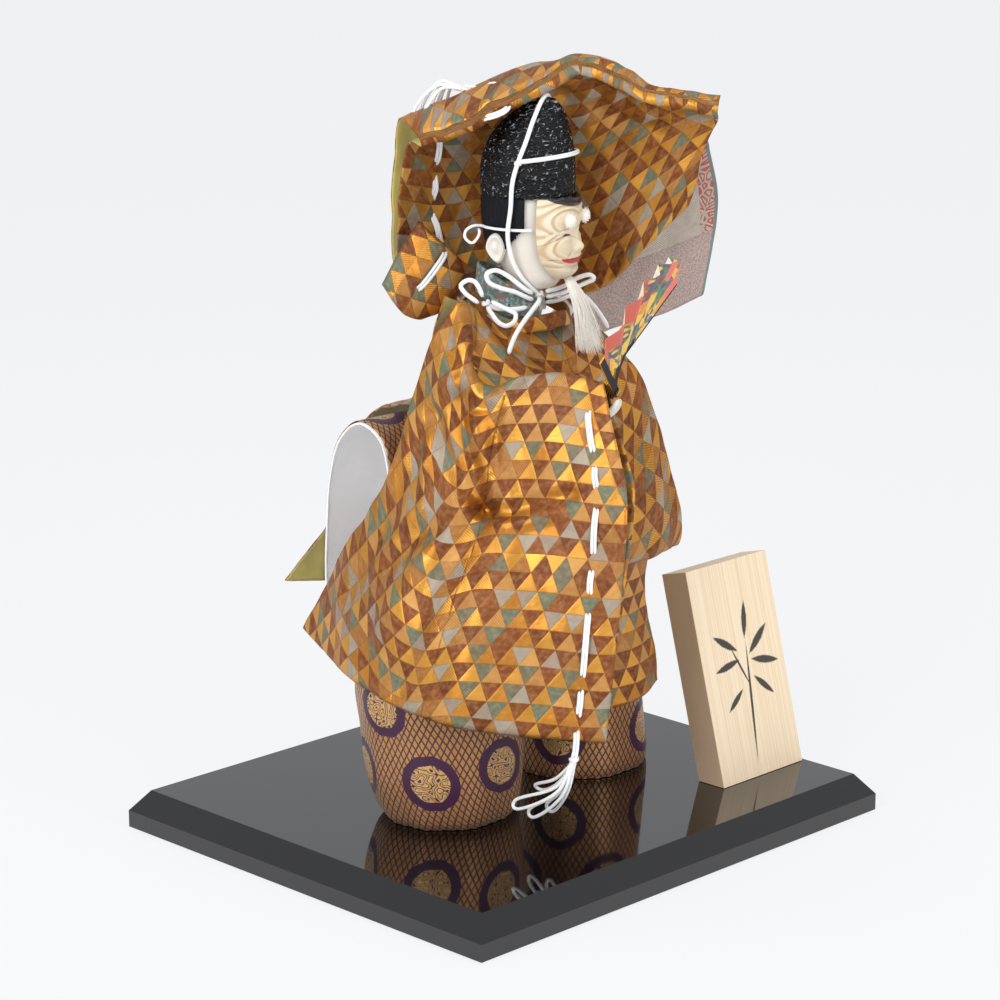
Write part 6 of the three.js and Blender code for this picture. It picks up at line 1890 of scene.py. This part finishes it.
def painted_paper():
    """The painted front: angle in degrees as u and reach in millimetres as v."""
    made = Finish("painted_fan_paper", Sheen_Weight=0.05)
    u, v = made.cloth()
    spot = made.vector(u * 0.9, v)
    soft = made.noise(spot, 0.11, 3.0)
    ground = made.mix(made.ease(0.42, 0.46, soft), "e09a2c", "e8b93a")
    cloud = made.ease(0.0, 1.2, v - 46 - made.sine(u * 0.16) * 3 - soft * 8)
    ground = made.mix(cloud, ground, "d9822b")
    blush = made.ease(-0.8, 0.8, v - 61 + u * 0.03 + soft * 3)
    ground = made.mix(blush * (1 - made.ease(44, 60, u)), ground, "dd5f63")
    for edge, half, at, paint in ((0.8, 3.0, 42, "2c5c86"), (0.5, 0.8, 44.4, "e9d7a8")):
        wave = made.ease(0.0, edge, half - abs(v - at - made.sine(u * 0.2 + 1) * 2.4))
        ground = made.mix(wave * (1 - made.ease(30, 38, u)), ground, paint)
    leaf = made.cells(spot, 0.36, "F1", "Color")
    r, g, b = made.split(leaf)
    mass = made.noise(made.vector(u * 0.9 + 31, v), 0.075, 2.0)
    mass = made.ease(0.44, 0.48, mass) * made.ease(14, 20, u)
    foliage = made.mix(r > 0.5, "1c7350", "23366b")
    foliage = made.mix(g > 0.8, foliage, "7c2038")
    foliage = made.mix(b > 0.86, foliage, "e2b53c")
    ground = made.mix(mass, ground, foliage)
    corner = made.ease(70, 76, u + soft * 8) * made.ease(52, 56, v)
    ground = made.mix(corner, ground, "c43a34")
    grain = made.noise(spot, 4.0, 2.0)
    made.set(Base_Color=made.mix(grain * 0.2, ground, "f0d9a0"), Roughness=0.55 + grain * 0.15)
    return made.bump(grain, 0.05)


def cream_paper():
    made = Finish("cream_fan_paper")
    grain = made.noise(made.place(), 900, 3.0)
    made.set(Base_Color=made.mix(grain * 0.5, "f3ead4", "e2d4b4"), Roughness=0.62 + grain * 0.1)
    return made.bump(grain, 0.04)


PAINTED, CREAM = painted_paper(), cream_paper()
HALF_RIB = 1.3
for k in range(FAN_RIBS - 1):
    reaches = np.linspace(LEAF_START + 1, FAN_RIB + 1.2, 28)
    before, after = [-0.2] if k > 0 else [], [1.2] if k < FAN_RIBS - 2 else []
    shares = np.concatenate([before, np.linspace(0, 0.5, 9), np.linspace(0.5, 1, 9)[1:], after])
    grid = np.zeros((len(shares), len(reaches), 3))
    place = np.zeros((len(shares), len(reaches), 2))
    for j, r in enumerate(reaches):
        start, end = rib_angle(k) + (HALF_RIB + 0.3) / r, rib_angle(k + 1) - (HALF_RIB + 0.3) / r
        for i, share in enumerate(shares):
            if share < 0:
                turn, level = rib_angle(k), on_rib(k)
            elif share > 1:
                turn, level = rib_angle(k + 1), on_rib(k + 1)
            else:
                turn = start + (end - start) * share
                sunk = PLEAT_RISE * r / FAN_RIB * (1 - abs(share - 0.5) * 2)
                level = on_rib(k) + (on_rib(k + 1) - on_rib(k)) * share - sunk
            grid[i, j] = [r * math.cos(turn), r * math.sin(turn), level]
            place[i, j] = [math.degrees(turn) + 25, r]
    leaf = mesh_piece(f"fan_leaf_{k + 1}_paper", fan(grid), grid_faces(*grid.shape[:2]), place)
    outwards(leaf, fan, [0, 0, 1], 3 * len(reaches) + 10)
    for material in (PAINTED, CREAM):
        leaf.data.materials.append(material)
    modify(leaf, "SOLIDIFY", thickness=0.15 * MM, offset=-1.0, material_offset=1)
    leaf.data.shade_flat()
    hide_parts(f"fan_leaf_{k + 1}")
    ends = [fan([50 * math.cos(rib_angle(m)), 50 * math.sin(rib_angle(m)), rib_level(m)]) for m in (k, k + 1)]
    rib_body(k)
    rib_body(k + 1)
    tuple(ends[0])
    tuple(ends[1])
    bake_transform(leaf)
refinished(rib_finish(), *(f"fan_rib_{k + 1}" for k in range(FAN_RIBS)))
refinished(brushed("fan_brass", "c9a24a", 0.22), "fan_rivet")
print("fan of", FAN_RIBS, "ribs")

# %% [markdown]
# ## Board, plaque and prop
# The board is black lacquer, polished enough to mirror the room. The plaque is pale straight-grained wood
# that leans back on a small prop. Its front bears a sprig of bamboo in ink, brushed in leaf strokes.

# %% Board and plaque
PLAQUE_X, PLAQUE_Y, PLAQUE_LEAN = 106, -90.5, math.radians(14.6)
BRUSH_STROKES = [
    (1, 40, 84, 40, 1.3), (-3, 60, 115, 16, 1.0), (14, 72, 38, 13, 3.2), (17, 60, -12, 13, 3.0),
    (6, 84, 78, 12, 2.8), (-12, 74, 148, 12, 3.0), (-13, 62, 190, 12, 2.7), (13, 47, -42, 11, 2.6),
    (-11, 43, 216, 10, 2.3),
]


def lacquer_finish():
    made = Finish("black_lacquer", Coat_Weight=0.35, Coat_Roughness=0.03, Specular_IOR_Level=0.6)
    haze = made.noise(made.place(), 25, 4.0)
    made.set(Base_Color=made.mix(haze * 0.5, "060608", "0b0b0f"), Roughness=0.04 + haze * 0.03)
    return made.bump(made.noise(made.place(), 60, 2.0), 0.008)


def plaque_finish():
    made = wood("plaque_wood", "f1dfc3", "d8bd96", 1100.0)
    x, y, z = made.split(made.place())
    grain = made.shader.inputs["Base Color"].links[0].from_socket
    across = x * 1000 - PLAQUE_X
    up = (z * 1000 - BOARD_TOP) / math.cos(PLAQUE_LEAN)
    leaning = PLAQUE_Y + (z * 1000 - BOARD_TOP) * math.tan(PLAQUE_LEAN)
    front = made.ease(0.0, 0.4, 1.2 - abs(y * 1000 - leaning))
    rough = made.noise(made.vector(across, up), 0.8, 3.0)
    ink = None
    for cx, cy, turn, length, width in BRUSH_STROKES:
        c, s = math.cos(math.radians(turn)), math.sin(math.radians(turn))
        along = ((across - cx) * c + (up - cy) * s) / length
        off = ((up - cy) * c - (across - cx) * s) / width
        stroke = 1 - made.ease(0.7, 1.0, along * along + abs(off) + rough * 0.3)
        ink = stroke if ink is None else made.most(ink, stroke)
    colour = made.mix(ink * front * 0.94, Value(made, grain), "1d1c1f")
    # The sides are browner than the front: partly the side grain's own tone, partly painted shade.
    side = made.ease(32.2, 32.45, abs(across))
    made.set(Base_Color=made.mix(side * 0.45, colour, "c4a07c"))
    return made.material


def eased_edges(name, width):
    """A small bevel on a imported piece, so its edges catch the light."""
    bevel = NODES[name].modifiers.new("eased_edges", "BEVEL")
    bevel.width = width * MM
    bevel.segments = 3
    bevel.limit_method = "ANGLE"
    bevel.angle_limit = math.radians(25)
    bevel.harden_normals = False


refinished(lacquer_finish(), "display_board")
refinished(plaque_finish(), "wooden_plaque")
refinished(wood("prop_wood", "e6cfa9", "c9a97c").material, "plaque_prop")
eased_edges("display_board", 0.7)
eased_edges("wooden_plaque", 0.5)
eased_edges("plaque_prop", 0.4)
print("board and plaque")
